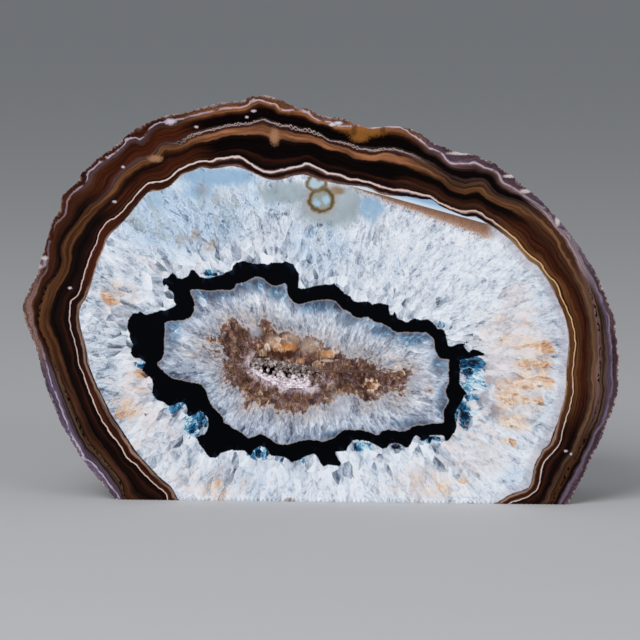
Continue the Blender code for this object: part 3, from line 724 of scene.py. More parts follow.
class Finish:
    """One material, built up node by node."""

    def __init__(self, name):
        self.material = bpy.data.materials.new(name)
        self.material.use_nodes = True
        self.tree = self.material.node_tree
        self.shader = self.tree.nodes["Principled BSDF"]

    def set(self, node, inputs):
        """Links or sets each of a node's inputs."""
        for key, value in inputs.items():
            if isinstance(value, Value):
                self.tree.links.new(value.socket, node.inputs[key])
            else:
                node.inputs[key].default_value = value

    def node(self, kind, settings=None, inputs=None, out=None):
        """Adds any node, sets it up, and gives the output asked for, or its first one."""
        node = self.tree.nodes.new(kind)
        settings = dict(settings or {})
        stops = settings.pop("stops", None)
        for key, value in settings.items():
            setattr(node, key, value)
        if stops:
            elements = node.color_ramp.elements
            elements.remove(elements[1])
            elements[0].position, elements[0].color = stops[0]
            for place, colour in stops[1:]:
                elements.new(place).color = colour
        self.set(node, inputs or {})
        shown = [output for output in node.outputs if output.enabled]
        return Value(self, node.outputs[out] if out else shown[0])

    def reading(self, name):
        """The number stored on the vertices under this name."""
        return self.node("ShaderNodeAttribute", {"attribute_name": name}, out="Fac")

    def moved(self, operation, place, other):
        """Vector arithmetic on a place."""
        settings = {"operation": operation}
        key = "Scale" if operation == "SCALE" else 1
        return self.node("ShaderNodeVectorMath", settings, {0: place, key: other})

    def millimetres(self):
        """The place on the piece, in millimetres."""
        place = self.node("ShaderNodeTexCoord", out="Object")
        return self.moved("SCALE", place, 1 / MM)

    def axis(self, place, name):
        """One of a place's three numbers, taken as a dot product."""
        unit = {"X": (1, 0, 0), "Y": (0, 1, 0), "Z": (0, 0, 1)}[name]
        settings = {"operation": "DOT_PRODUCT"}
        return self.node("ShaderNodeVectorMath", settings, {0: place, 1: unit}, out="Value")

    def parts(self, colour):
        """The three numbers in a colour."""
        red = self.node("ShaderNodeSeparateColor", inputs={0: colour}, out="Red")
        return red, red.other("Green"), red.other("Blue")

    def plain(self, share):
        """A grey of this brightness."""
        return self.node("ShaderNodeCombineColor", {}, {"Red": share, "Green": share, "Blue": share})

    def spot(self, x, y, z=0.0):
        """A place put together from three numbers."""
        return self.node("ShaderNodeCombineXYZ", inputs={"X": x, "Y": y, "Z": z})

    def noise(self, place, size, detail=2.0, rough=0.5, distortion=0.0):
        """Cloudy noise about 0.5, with lumps of this size."""
        inputs = {"Vector": place, "Scale": 1 / size, "Detail": detail, "Roughness": rough}
        return self.node("ShaderNodeTexNoise", {}, {**inputs, "Distortion": distortion}, out="Fac")

    def mix(self, share, first, second, blend="MIX"):
        """The first colour, turning into the second as the share rises to 1."""
        if isinstance(second, Value) and second.socket.type == "VALUE":
            second = self.plain(second)
        settings = {"data_type": "RGBA", "blend_type": blend}
        return self.node("ShaderNodeMix", settings, {0: share, 6: first, 7: second}, out=2)

    def multiplied(self, share, colour, other):
        """The colour, multiplied by another as far as the share says."""
        return self.mix(share, colour, self.mix(1.0, colour, other, "MULTIPLY"))

    def surface(self, inputs):
        """One more surface shader, to be blended with others."""
        return self.node("ShaderNodeBsdfPrincipled", {}, inputs)

    def blend(self, share, first, second):
        """The first surface, turning into the second as the share rises to 1."""
        return self.node("ShaderNodeMixShader", {}, {0: share, 1: first, 2: second})

    def wear(self, surface):
        """Makes this surface the material's own."""
        self.tree.links.new(surface.socket, self.tree.nodes["Material Output"].inputs["Surface"])
        self.tree.nodes.remove(self.shader)

    def ramp(self, share, stops):
        """Colours along a number, from pairs of a place and a paint-chart colour."""
        settings = {"stops": [(place, tint(*colour)) for place, colour in stops]}
        return self.node("ShaderNodeValToRGB", settings, {0: share})


print("one chart colour made linear:", [round(part, 3) for part in tint(230, 200, 185)])

# %% [markdown]
# ## The colours of the banded skin
#
# The same bands run all round the stone, but iron and manganese have stained them differently on each
# side. Few stains are at work, so eighteen named colours do for the whole skin. Nine charts then name
# the bands from the outside to the quartz, clockwise from the lower left. Each entry is a place in the
# skin, 0 to 4, and the stain there.

# %% Stains and charts
STAINS = {
    "black": (8, 3, 3),
    "umber": (24, 10, 7),
    "chocolate": (48, 21, 12),
    "russet": (64, 28, 14),
    "brown": (68, 40, 26),
    "chestnut": (90, 55, 30),
    "tan": (112, 76, 52),
    "caramel": (144, 94, 64),
    "honey": (130, 98, 64),
    "olive": (80, 60, 46),
    "ash": (58, 44, 42),
    "mauve": (76, 58, 64),
    "lilac": (92, 78, 98),
    "violet": (130, 122, 146),
    "rose": (116, 86, 82),
    "buff": (134, 106, 92),
    "cream": (164, 138, 118),
    "pale": (152, 134, 138),
}
CHARTS = [
    (  # lower left, lilac outside
        None,
        [(0, "pale"), (0.14, "pale"), (0.2, "lilac"), (0.88, "lilac"), (0.96, "violet"), (1.1, "lilac"),
         (1.4, "mauve"), (1.52, "umber"), (1.65, "olive"), (1.82, "olive"), (1.92, "chocolate"),
         (2.05, "brown"), (2.24, "brown"), (2.4, "black"), (2.6, "umber"), (2.72, "chocolate"),
         (2.8, "umber"), (2.96, "black"), (3.1, "russet"), (3.5, "chocolate"), (3.64, "buff"),
         (3.8, "buff"), (3.85, "ash"), (3.94, "umber"), (4, "pale")],
    ),
    (  # left, dull red outside
        84,
        [(0, "pale"), (0.25, "buff"), (0.9, "rose"), (1.1, "chestnut"), (1.2, "brown"),
         (1.5, "chocolate"), (1.62, "umber"), (1.74, "chocolate"), (1.86, "chestnut"),
         (2, "chestnut"), (2.12, "brown"), (2.28, "chestnut"), (2.37, "umber"), (2.46, "black"),
         (2.65, "umber"), (2.78, "chocolate"), (2.84, "umber"), (2.97, "black"), (3.2, "umber"),
         (3.6, "chocolate"), (3.74, "buff"), (3.88, "buff"), (3.95, "umber"), (4, "pale")],
    ),
    (  # upper left, reddish
        101,
        [(0, "rose"), (0.3, "rose"), (0.5, "chestnut"), (0.7, "russet"), (1.3, "russet"),
         (1.42, "brown"), (1.55, "chocolate"), (1.68, "umber"), (1.88, "black"), (1.96, "brown"),
         (2.12, "chestnut"), (2.22, "brown"), (2.3, "chestnut"), (2.38, "umber"), (2.6, "black"),
         (2.82, "umber"), (2.88, "chocolate"), (2.94, "umber"), (3.12, "russet"), (3.7, "russet"),
         (3.8, "brown"), (3.88, "buff"), (3.96, "cream"), (4, "pale")],
    ),
    (  # upper left, chocolate
        121,
        [(0, "pale"), (0.3, "rose"), (0.5, "brown"), (0.6, "chocolate"), (0.92, "russet"),
         (1.1, "mauve"), (1.22, "brown"), (1.36, "russet"), (1.84, "russet"), (1.93, "mauve"),
         (2, "brown"), (2.1, "tan"), (2.2, "chestnut"), (2.3, "chocolate"), (2.42, "umber"),
         (2.55, "russet"), (2.82, "russet"), (2.88, "brown"), (2.95, "umber"), (3.12, "chocolate"),
         (3.5, "chocolate"), (3.84, "brown"), (3.92, "buff"), (3.98, "cream"), (4, "pale")],
    ),
    (  # top, black with white lines
        148,
        [(0, "buff"), (0.3, "rose"), (0.5, "chestnut"), (0.75, "tan"), (0.95, "caramel"),
         (1.12, "caramel"), (1.22, "chestnut"), (1.3, "chocolate"), (1.42, "black"), (1.82, "black"),
         (1.9, "ash"), (1.98, "mauve"), (2.08, "chocolate"), (2.14, "caramel"), (2.26, "caramel"),
         (2.33, "umber"), (2.42, "black"), (2.72, "black"), (2.78, "chocolate"), (2.84, "umber"),
         (2.95, "black"), (3.02, "pale"), (3.12, "buff"), (3.24, "ash"), (3.4, "umber"),
         (3.7, "chocolate"), (3.86, "rose"), (3.95, "buff"), (4, "buff")],
    ),
    (  # upper right, mauve rim
        208,
        [(0, "pale"), (0.2, "mauve"), (0.6, "mauve"), (0.8, "lilac"), (0.95, "rose"), (1.12, "rose"),
         (1.3, "ash"), (1.4, "umber"), (1.5, "black"), (1.74, "black"), (1.84, "ash"),
         (1.95, "chocolate"), (2.03, "olive"), (2.12, "brown"), (2.2, "tan"), (2.3, "chestnut"),
         (2.38, "black"), (2.55, "black"), (2.68, "chocolate"), (2.78, "brown"), (2.96, "umber"),
         (3.04, "pale"), (3.22, "pale"), (3.36, "mauve"), (3.48, "umber"), (3.8, "umber"),
         (3.92, "chocolate"), (4, "rose")],
    ),
    (  # right shoulder, ochre inside
        239,
        [(0, "pale"), (0.35, "rose"), (0.6, "lilac"), (0.8, "mauve"), (1, "mauve"), (1.2, "pale"),
         (1.45, "pale"), (1.6, "rose"), (1.75, "brown"), (2, "brown"), (2.12, "tan"), (2.22, "brown"),
         (2.5, "chocolate"), (2.7, "russet"), (2.92, "chestnut"), (2.98, "chocolate"),
         (3.05, "cream"), (3.3, "honey"), (3.6, "honey"), (3.8, "buff"), (3.95, "cream"),
         (4, "cream")],
    ),
    (  # right, purple outside and ochre inside
        257,
        [(0, "ash"), (0.06, "pale"), (0.25, "pale"), (0.36, "mauve"), (0.9, "mauve"), (1.02, "lilac"),
         (1.28, "mauve"), (1.38, "olive"), (1.44, "umber"), (1.52, "olive"), (1.8, "rose"),
         (1.95, "olive"), (2.03, "tan"), (2.12, "olive"), (2.22, "brown"), (2.4, "chocolate"),
         (2.6, "russet"), (2.78, "chestnut"), (2.88, "chestnut"), (2.96, "chocolate"),
         (3.1, "chestnut"), (3.6, "chestnut"), (3.8, "tan"), (3.9, "cream"), (4, "buff")],
    ),
    (  # lower right, grey-lilac outside
        288,
        [(0, "pale"), (0.12, "pale"), (0.3, "lilac"), (0.5, "mauve"), (0.9, "mauve"), (1.15, "lilac"),
         (1.26, "ash"), (1.36, "black"), (1.46, "umber"), (1.58, "brown"), (1.85, "brown"),
         (2.12, "olive"), (2.24, "chocolate"), (2.36, "black"), (2.55, "umber"), (2.75, "chocolate"),
         (2.95, "umber"), (3.1, "brown"), (3.3, "russet"), (3.55, "brown"), (3.68, "buff"),
         (3.84, "buff"), (3.92, "ash"), (3.97, "umber"), (4, "buff")],
    ),
]


def chart_colours(finish, band, turn):
    """The band colours, one chart running into the next round the stone."""
    colours = None
    for start, chart in CHARTS:
        stops = [(place / 4, STAINS[stain]) for place, stain in chart]
        shade = finish.ramp(band / 4, stops)
        if start is None:
            colours = shade
        else:
            colours = finish.mix(turn.rise(start - 4, start + 4), colours, shade)
    return colours


print("charts:", len(CHARTS), "in", len(STAINS), "stains")

# %% [markdown]
# Flecks are single marks: crumbs of pale quartz, small eyes and cracks. Each group has a colour, a
# strength and its ovals, with a place and two radii each. Hair lines are as thin, but they run all the
# way round, so they are drawn from a distance to a curve.

# %% Flecks and hair lines
BAND_FLECKS = [
    ((214, 200, 214), 0.9, [(-62.7, 53.5, 0.5, 0.3), (-51.3, 75.2, 0.6, 0.3), (-49.1, 83.9, 0.4, 0.3),
                            (-30.7, 93.9, 0.5, 0.3), (-16.4, 97.9, 0.6, 0.3), (-18.1, 96.4, 0.4, 0.3),
                            (61.5, 13.5, 0.4, 0.3), (62.8, 12.8, 0.3, 0.3), (-37.2, 95.2, 1.3, 0.7)]),
    ((150, 96, 44), 0.85, [(11.5, 93.2, 4.6, 1.5), (10, 91.6, 2.2, 1.2)]),
    ((86, 50, 22), 0.7, [(8.6, 93.4, 0.7, 1.6), (15.6, 93.6, 0.7, 1.2)]),
    ((214, 216, 224), 0.95, [(13.4, 94.2, 1.9, 0.5), (4.6, 95.0, 1.0, 0.4), (3.2, 94.6, 0.8, 0.4)]),
    ((168, 124, 92), 0.9, [(-11.2, 91.6, 1.1, 1.9), (-41, 86, 1.7, 0.8), (-35.2, 49, 0.9, 0.5)]),
    ((220, 206, 206), 0.85, [(35, 87.6, 3.2, 0.4), (47, 82, 1.4, 0.4), (51, 78.3, 1.2, 0.5),
                             (59, 71, 0.6, 1.2), (-69, 61, 0.8, 0.5), (-71.6, 57, 0.5, 0.9)]),
    ((206, 196, 206), 0.9, [(-70, 60, 1.3, 1.3)]),
    ((96, 62, 56), 0.9, [(-69.8, 59.9, 0.8, 0.8)]),
]


def hair_line(distance, half_width):
    """1 on a line, falling off beyond its half width in millimetres."""
    return abs(distance).rise(half_width * 1.7, half_width * 0.7)


def fleck(finish, place, x, z, wide, high, ragged):
    """1 inside an oval fleck on the face, whose edge is roughened by a number about 0."""
    flat = finish.moved("MULTIPLY", finish.moved("SUBTRACT", place, (x, 0, z)), (1 / wide, 0, 1 / high))
    far = finish.node("ShaderNodeVectorMath", {"operation": "LENGTH"}, {0: flat}, out="Value")
    return (far + ragged).rise(1.5, 0.5)


def flecks(finish, place, colours, groups, ragged):
    """Flecks in groups, each a colour, a strength and its ovals."""
    uneven = ragged * 0.5 + 1.0
    for colour, strength, ovals in groups:
        share = 0.0
        for oval in ovals:
            share = fleck(finish, place, *oval, ragged).math("MAXIMUM", share)
        shade = finish.mix(1.0, tint(*colour), uneven, "MULTIPLY")
        colours = finish.mix(share * strength, colours, shade)
    return colours


print("flecks in the skin:", sum(len(ovals) for _, _, ovals in BAND_FLECKS))

# %% [markdown]
# The charts alone would look printed. A real band wavers, splits into finer layers, and carries pale
# hair lines. The white ones are drawn from their distances, so that they keep their width where the
# bands spread, and rows of small pits follow the middle line. The pits are only near-black dots, the
# painted shade of tiny holes.

# %% Wavering bands and rows of pits
MM_PER_DEGREE = 1.25  # along the skin, where it is of middling size


def grey(share):
    """The paint-chart grey that gives this share as a brightness."""
    return (255 * share ** (1 / 2.2),) * 3


OUTER_LINE_STRENGTH = [
    (0.22, grey(0.6)), (0.25, grey(0.1)), (0.31, grey(0.15)), (0.36, grey(0.7)), (0.42, grey(0.5)),
    (0.5, grey(0.7)), (0.6, grey(0.75)), (0.67, grey(0.3)), (0.72, grey(0.2)), (0.8, grey(0.1)),
]
WHITE_LINE_COLOURS = [
    (0.18, (230, 200, 185)), (0.26, (215, 184, 178)), (0.36, (230, 200, 190)),
    (0.48, (226, 205, 205)), (0.61, (225, 190, 178)), (0.68, (226, 182, 124)),
    (0.76, (220, 182, 142)), (0.82, (215, 195, 190)),
]


def banded_skin(finish, place):
    """The colours of the skin: bands, fine layers, rim crumbs, pits of painted shade, hair lines and
    flecks.
    """
    turn = finish.reading("turn")
    spread = finish.reading("spread")
    along = turn * MM_PER_DEGREE
    sway = (finish.noise(place, 4.2) - 0.5) * 1.3 + (finish.noise(place, 1.3) - 0.5) * 0.4
    band = finish.reading("band") + sway / spread
    layer = finish.reading("layer") + sway
    colours = chart_colours(finish, band, turn)

    fine = finish.noise(finish.spot(layer / 0.42, along / 16), 1.0, detail=2, rough=0.6)
    broad = finish.noise(finish.spot(layer / 1.3, along / 22, 9.0), 1.0, detail=2)
    lines = (fine * 0.65 + broad * 0.35).rise(0.36, 0.64)
    colours = finish.mix(1.0, colours, 0.45 + lines * 1.05, "MULTIPLY")

    crumb = finish.noise(place, 0.5, detail=2, rough=0.6)
    loose = band.rise(1.05, 0.85)
    colours = finish.multiplied(loose * 0.8, colours, crumb * 2.0)
    rim = (band * spread + (crumb - 0.5) * 2.2).rise(0.9, 0.3) * loose
    crumbs = finish.mix(crumb.rise(0.38, 0.6), tint(84, 52, 52), tint(222, 204, 206))
    colours = finish.mix(rim * 0.75, colours, crumbs)

    # Rows of small pits, near-black dots that are the painted shade of tiny holes.
    pit_row = (band - 1.84 + turn.rise(180, 200) * 0.16) * spread
    pit_shade = finish.noise(finish.spot(along / 1.2, pit_row / 0.8), 1.0, detail=1).rise(0.51, 0.55)
    some = finish.noise(finish.spot(along, 3), 7.0).rise(0.38, 0.46) * turn.rise(115, 100)
    some = some + finish.noise(finish.spot(along, 8), 6.0).rise(0.38, 0.46) * turn.rise(255, 266)
    colours = finish.mix(pit_shade * hair_line(pit_row, 0.24) * some, colours, tint(4, 2, 2))

    chain = (band - 1.97) * spread
    swing = (finish.noise(finish.spot(along / 1.6, 4), 1.0, detail=1) - 0.5) * 2.4
    links = hair_line(chain - swing, 0.1).math("MAXIMUM", hair_line(chain + swing, 0.1))
    links = links * turn.rise(140, 150) * turn.rise(214, 202)
    colours = finish.mix(links * 0.8, colours, tint(186, 164, 156))

    outer = finish.reading("outer_line") + sway
    strength = finish.ramp(turn / 360, OUTER_LINE_STRENGTH)
    width = finish.noise(finish.spot(along, 5), 3.0) * 0.55
    gaps = finish.noise(finish.spot(along, 12), 4.0, detail=3).rise(0.36, 0.5)
    shine = (0 - abs(outer) / width).rise(-1.0, -0.4) * gaps
    colours = finish.mix(shine * strength, colours, tint(212, 196, 214))
    white = finish.reading("white_line") + sway
    shade = finish.ramp(turn / 360, WHITE_LINE_COLOURS)
    width = 0.11 + turn.rise(118, 150) * turn.rise(240, 205) * 0.07
    colours = finish.mix(hair_line(white / width, 1.0), colours, shade)
    return flecks(finish, place, colours, BAND_FLECKS, (crumb - 0.5) * 1.6)


print("white line colours at", [round(360 * place) for place, _ in WHITE_LINE_COLOURS], "degrees")

# %% [markdown]
# ## Quartz
#
# The clear quartz is a crowd of long crystals, cut through at odd angles. A Voronoi pattern in the
# coordinates of the grain gives cells that are longer than wide and point inwards. Each cell tilts its
# own streaks and has its own brightness, and one side of it is lit a little more than the other.

# %% Crystals


def crystal_space(finish, grain, wide, long):
    """The coordinates of the grain, scaled so that one crystal is one unit each way."""
    around, growth, depth = grain
    return finish.spot(around / wide, growth / long, depth / wide)


def crystal_edges(finish, grain, wide, long):
    """The way from each spot to the nearest edge of its crystal, in units of the crystal."""
    settings = {"voronoi_dimensions": "3D", "feature": "DISTANCE_TO_EDGE"}
    place = crystal_space(finish, grain, wide, long)
    return finish.node("ShaderNodeTexVoronoi", settings, {"Vector": place, "Scale": 1.0})


def crystals(finish, grain, wide, long, tilt=1.2, fibre=0.35):
    """Brightness of a crowd of crystals about 0.5, and two numbers of each crystal's own."""
    place = crystal_space(finish, grain, wide, long)
    settings = {"voronoi_dimensions": "3D", "feature": "F1"}
    cell = finish.node("ShaderNodeTexVoronoi", settings, {"Vector": place, "Scale": 1.0}, out="Color")
    local = finish.moved("SUBTRACT", place, cell.other("Position"))
    own, second, third = finish.parts(cell)
    turned = finish.node("ShaderNodeVectorRotate", {"rotation_type": "Z_AXIS"},
                         {"Vector": local, "Angle": (second - 0.5) * tilt})
    stretched = finish.moved("MULTIPLY", turned, (wide / fibre, long / (fibre * 5), 1.0))
    apart = finish.moved("ADD", stretched, finish.spot(own * 37, second * 37, third * 37))
    streaks = finish.noise(apart, 1.0, detail=3, rough=0.55)
    facet = finish.axis(turned, "X") * (third - 0.5)
    bright = 0.5 + (streaks - 0.5) * 0.9 + (own - 0.5) * 0.5 + facet * 0.9
    return bright, own, second


def wisps(finish, grain, size, stretch=1.5, seed=0.0, twist=1.3):
    """Feathery clouds about 0.5, a little longer along the grain."""
    around, growth, depth = grain
    place = finish.spot(around / size, growth / (size * stretch), depth / size + seed)
    return finish.noise(place, 1.0, detail=5, rough=0.62, distortion=twist)


def vein(cloud, width):
    """1 where a cloud passes its middle value, which draws thin winding lines."""
    return abs(cloud - 0.5).rise(width, width * 0.25)


# %% [markdown]
# Each kind of quartz has a short run of colours, from its shadows to its lights. A brightness made of
# crystals, wisps and veins then picks the colour.

# %% The colours of quartz
QUARTZ = [(0.0, (92, 100, 114)), (0.22, (146, 156, 170)), (0.42, (192, 200, 211)),
          (0.6, (221, 225, 231)), (0.8, (239, 241, 244)), (1.0, (252, 252, 253))]
STAINED = [(0.0, (112, 62, 30)), (0.26, (176, 112, 66)), (0.46, (212, 162, 118)), (0.7, (236, 214, 194)),
           (1.0, (250, 242, 234))]
BLUES = [(0.0, (3, 8, 18)), (0.28, (8, 32, 56)), (0.46, (28, 86, 126)), (0.62, (86, 148, 186)),
         (0.78, (176, 212, 230)), (1.0, (240, 246, 250))]
SMOKES = [(0.0, (40, 22, 16)), (0.24, (76, 50, 38)), (0.45, (112, 84, 68)), (0.64, (146, 118, 102)),
          (0.82, (196, 176, 166)), (1.0, (240, 228, 224))]
FIBRES = [(0.0, (62, 68, 82)), (0.22, (116, 122, 138)), (0.45, (168, 174, 188)),
          (0.68, (210, 214, 223)), (1.0, (248, 249, 252))]
MAUVES = [(0.1, (52, 38, 42)), (0.4, (112, 92, 96)), (0.62, (158, 140, 148)), (0.85, (216, 202, 212))]
TANS = [(0.1, (66, 42, 26)), (0.4, (126, 96, 68)), (0.62, (172, 142, 112)), (0.85, (222, 202, 182))]
SMOKE_HUES = [(0.0, (255, 246, 214)), (0.3, (255, 236, 216)), (0.5, (255, 222, 190)),
              (0.75, (240, 222, 236)), (1.0, (226, 214, 236))]
print("colours in the quartz:", len(QUARTZ + STAINED + BLUES + SMOKES + FIBRES + MAUVES + TANS))

# %% [markdown]
# The white quartz is milky near the bands and clearer near the black ring, where bigger crystals end
# in flat faces. Patches of it are cooler, warmer, greyer or stained ochre.

# %% The white quartz


def outer_quartz(finish, place):
    """The broad zone of white crystals between the bands and the black ring."""
    grain = finish.reading("around"), finish.reading("growth"), finish.axis(place, "Y")
    to_ring = 0 - finish.reading("ring_outside")
    cool_patch = finish.reading("cool")
    broad = wisps(finish, grain, 3.0, twist=2.2)
    small = wisps(finish, grain, 0.8, stretch=2.0, seed=3.0)
    streaks, own, second = crystals(finish, grain, 1.7, 5.0, tilt=1.5, fibre=0.34)
    facets, facet_own, _ = crystals(finish, grain, 2.6, 3.6, tilt=2.0, fibre=1.3)
    near_ring = (to_ring + (own - 0.5) * 5.0).rise(7.0, 2.5)
    milky = finish.reading("warm")
    bright = 0.65 + milky * 0.06 + (streaks - 0.5) * 0.6 + (broad - 0.5) * 1.3
    bright = bright + (small - 0.5) * (1.15 - milky * 0.5)
    bright = bright + vein(broad, 0.04) * (0.1 + cool_patch * 0.35) + vein(small, 0.05) * 0.1
    bright = bright - finish.reading("shade") * 0.3 - finish.reading("quartz_edge").rise(2.5, 0.0) * 0.08
    crisp = 0.6 + (facets - 0.5) * 1.7 + (small - 0.5) * 0.8 + (streaks - 0.5) * 0.3
    bright = bright + (crisp - bright) * near_ring * 0.8
    colours = finish.ramp(bright, QUARTZ)

    hue = wisps(finish, grain, 4.5, seed=11.0)
    cool = (cool_patch + (hue - 0.5) * 1.6).rise(0.15, 1.1)
    colours = finish.multiplied(cool * 0.7, colours, tint(202, 226, 246))
    colours = finish.multiplied(0.35, colours, tint(232, 242, 255))
    warm = (milky + (0.5 - hue) * 1.8 + (second - 0.5) * 0.5).rise(0.25, 1.0)
    colours = finish.multiplied(warm * 0.8, colours, tint(251, 237, 231))
    olive = (cool_patch + (second - 0.5) * 1.0 + (broad - 0.5) * 2.0).rise(0.9, 1.5)
    colours = finish.multiplied(olive * 0.55, colours, tint(214, 208, 190))
    turn = finish.reading("turn")
    beside = (finish.reading("quartz_edge") + (small - 0.5) * 2.4).rise(2.8, 0.9)
    beside = beside * turn.rise(215, 240) * turn.rise(320, 304)
    colours = finish.mix(beside * 0.55, colours, tint(188, 182, 192))
    stained = finish.reading("ochre")
    colours = finish.multiplied(stained.rise(0, 0.6) * 0.4, colours, tint(250, 230, 212))
    stain = stained * 1.1 + (second - 0.5) * 1.2 + (small - 0.5) * 2.0 + (broad - 0.5) * 3.4
    stain = stain.rise(0.45, 0.85) * stained.rise(0.02, 0.25)
    colours = finish.mix(stain * 0.9, colours, finish.ramp(bright - 0.16, STAINED))
    return colours, facets, facet_own, small


# %% [markdown]
# Water that stood in the hollow left clear chalcedony under the top bands. It is smooth, so soft ovals
# and distances draw it: a sky-blue and a grey field, a lens with a wedge of brown sand under it, and
# two small eyes with brown rings.

# %% The still chalcedony


def round_place(x, z, across, up, squeeze=1.0):
    """The distance from a place on the face, in millimetres."""
    return ((x - across).math("POWER", 2.0) + ((z - up) * squeeze).math("POWER", 2.0)).math("SQRT")


def still_waters(finish, place, colours, small):
    """Clear chalcedony under the top bands: sky blue, grey, a wedge of brown, and two eyes."""
    x, z = finish.axis(place, "X"), finish.axis(place, "Z")
    soft = finish.noise(place, 4.0, detail=2) - 0.5
    rough = (small - 0.5) * 1.2
    calm = (finish.reading("calm") + soft * 0.8 + rough).rise(0.2, 0.8)
    still = finish.mix((soft * 2 + 0.5).math("MAXIMUM", 0.0), tint(150, 164, 170), tint(178, 192, 200))
    colours = finish.mix(calm * 0.92, colours, still)
    sky = (finish.reading("sky") + soft * 0.8 + rough).rise(0.15, 0.9)
    colours = finish.mix(sky * 0.88, colours, tint(148, 184, 214))

    over = z - (79.0 - (x - 9.0) * 0.272)
    span = x.rise(7.0, 10.0) * x.rise(44.0, 41.0)
    lens = finish.mix(over.rise(0.1, 1.6), tint(214, 226, 236), tint(140, 182, 220))
    colours = finish.mix(over.rise(-0.1, 0.1) * span * 0.95, colours, lens)
    thick = 0.4 + (x - 9.0).math("MAXIMUM", 0.0) * 0.095
    ragged = over + thick + rough * 2.5
    wedge = ragged.rise(-0.4, 0.4) * over.rise(0.1, -0.1) * span
    down = (0 - over) / thick
    browns = finish.ramp(down + rough * 0.6, [(0.0, (80, 44, 22)), (0.24, (120, 76, 48)),
                                              (0.62, (158, 112, 84)), (1.0, (208, 182, 166))])
    grains = finish.noise(place, 0.45, detail=2, rough=0.6)
    browns = finish.mix(1.0, browns, 0.05 + grains * 1.8, "MULTIPLY")
    colours = finish.mix(wedge * 0.95, colours, browns)
    dots = (grains + ragged.rise(-2.4, -0.6) * 0.12).rise(0.72, 0.76) * over.rise(0.1, -0.1) * span
    colours = finish.mix(dots * 0.8, colours, tint(70, 50, 42))
    sandy = (ragged + (small - 0.5) * 5.0).rise(-1.4, 0.2) * over.rise(0.1, -0.1) * span
    colours = finish.mix(sandy * 0.3, colours, tint(176, 138, 116))

    wavy = soft * 0.7 + rough * 0.2 + (finish.noise(place, 1.6, detail=2) - 0.5) * 1.4
    smear = round_place(x, z, 4.4, 78.2, 1.7) + wavy
    colours = finish.mix(smear.rise(2.6, 1.0) * 0.85, colours, tint(150, 116, 70))
    low_eye = round_place(x, z, 0.4, 75.8) + wavy
    colours = finish.mix(low_eye.rise(5.4, 3.4) * 0.35, colours, tint(182, 160, 150))
    colours = finish.mix(low_eye.rise(3.8, 3.0), colours, tint(132, 116, 84))
    colours = finish.mix(hair_line(low_eye - 2.85, 0.26) * 0.7, colours, tint(88, 70, 42))
    colours = finish.mix(low_eye.rise(2.7, 1.9), colours, tint(158, 162, 156))
    left_glint = (round_place(x, z, -0.7, 75.1) + wavy).rise(1.5, 0.6)
    colours = finish.mix(left_glint, colours, tint(168, 202, 226))
    right_glint = (round_place(x, z, 1.5, 76) + wavy).rise(1.4, 0.5)
    colours = finish.mix(right_glint, colours, tint(172, 206, 228))
    high_eye = round_place(x, z, -0.8, 80.3) + wavy
    colours = finish.mix(high_eye.rise(3.0, 2.2), colours, tint(126, 108, 78))
    colours = finish.mix(high_eye.rise(2.1, 1.2), colours, tint(186, 206, 218))
    dull_spot = round_place(x, z, -0.1, 81.2).rise(1.1, 0.5)
    return finish.mix(dull_spot * 0.8, colours, tint(150, 112, 104))


# %% [markdown]
# Inside the black ring the quartz is finer and greyer. It turns smoky towards the pocket, where each
# crystal has its own hue between mauve and tan, and the lower lip of the pocket is lilac-white.

# %% The quartz inside the black ring
HEART_FLECKS = [
    ((214, 186, 168), 0.5, [(-7.0, 41.2, 2.2, 1.2), (-11.5, 40.5, 1.4, 1.2), (-2.5, 39.5, 2.0, 1.6)]),
    ((72, 40, 24), 0.8, [(-9.2, 37.3, 2.0, 0.8), (-12.6, 37.6, 1.0, 0.6), (1.4, 38.6, 1.2, 0.5)]),
    ((206, 136, 78), 0.8, [(-7.8, 39.1, 1.6, 0.7)]),
    ((206, 152, 108), 0.75, [(1.8, 37.4, 1.5, 0.8), (-4.6, 35.6, 0.6, 0.8)]),
    ((232, 208, 194), 0.7, [(1.6, 35.7, 1.4, 0.3)]),
    ((202, 204, 216), 0.6, [(-16.2, 43, 1.2, 1.4), (3.7, 40.5, 1.2, 1.5), (5, 24.5, 2.0, 2.6),
                            (24.5, 31, 2.0, 1.6)]),
    ((206, 150, 108), 0.6, [(27.5, 28.5, 1.1, 0.5)]),
    ((44, 26, 22), 0.8, [(27.5, 28.4, 0.5, 0.2), (0.6, 35.3, 0.5, 0.3)]),
]


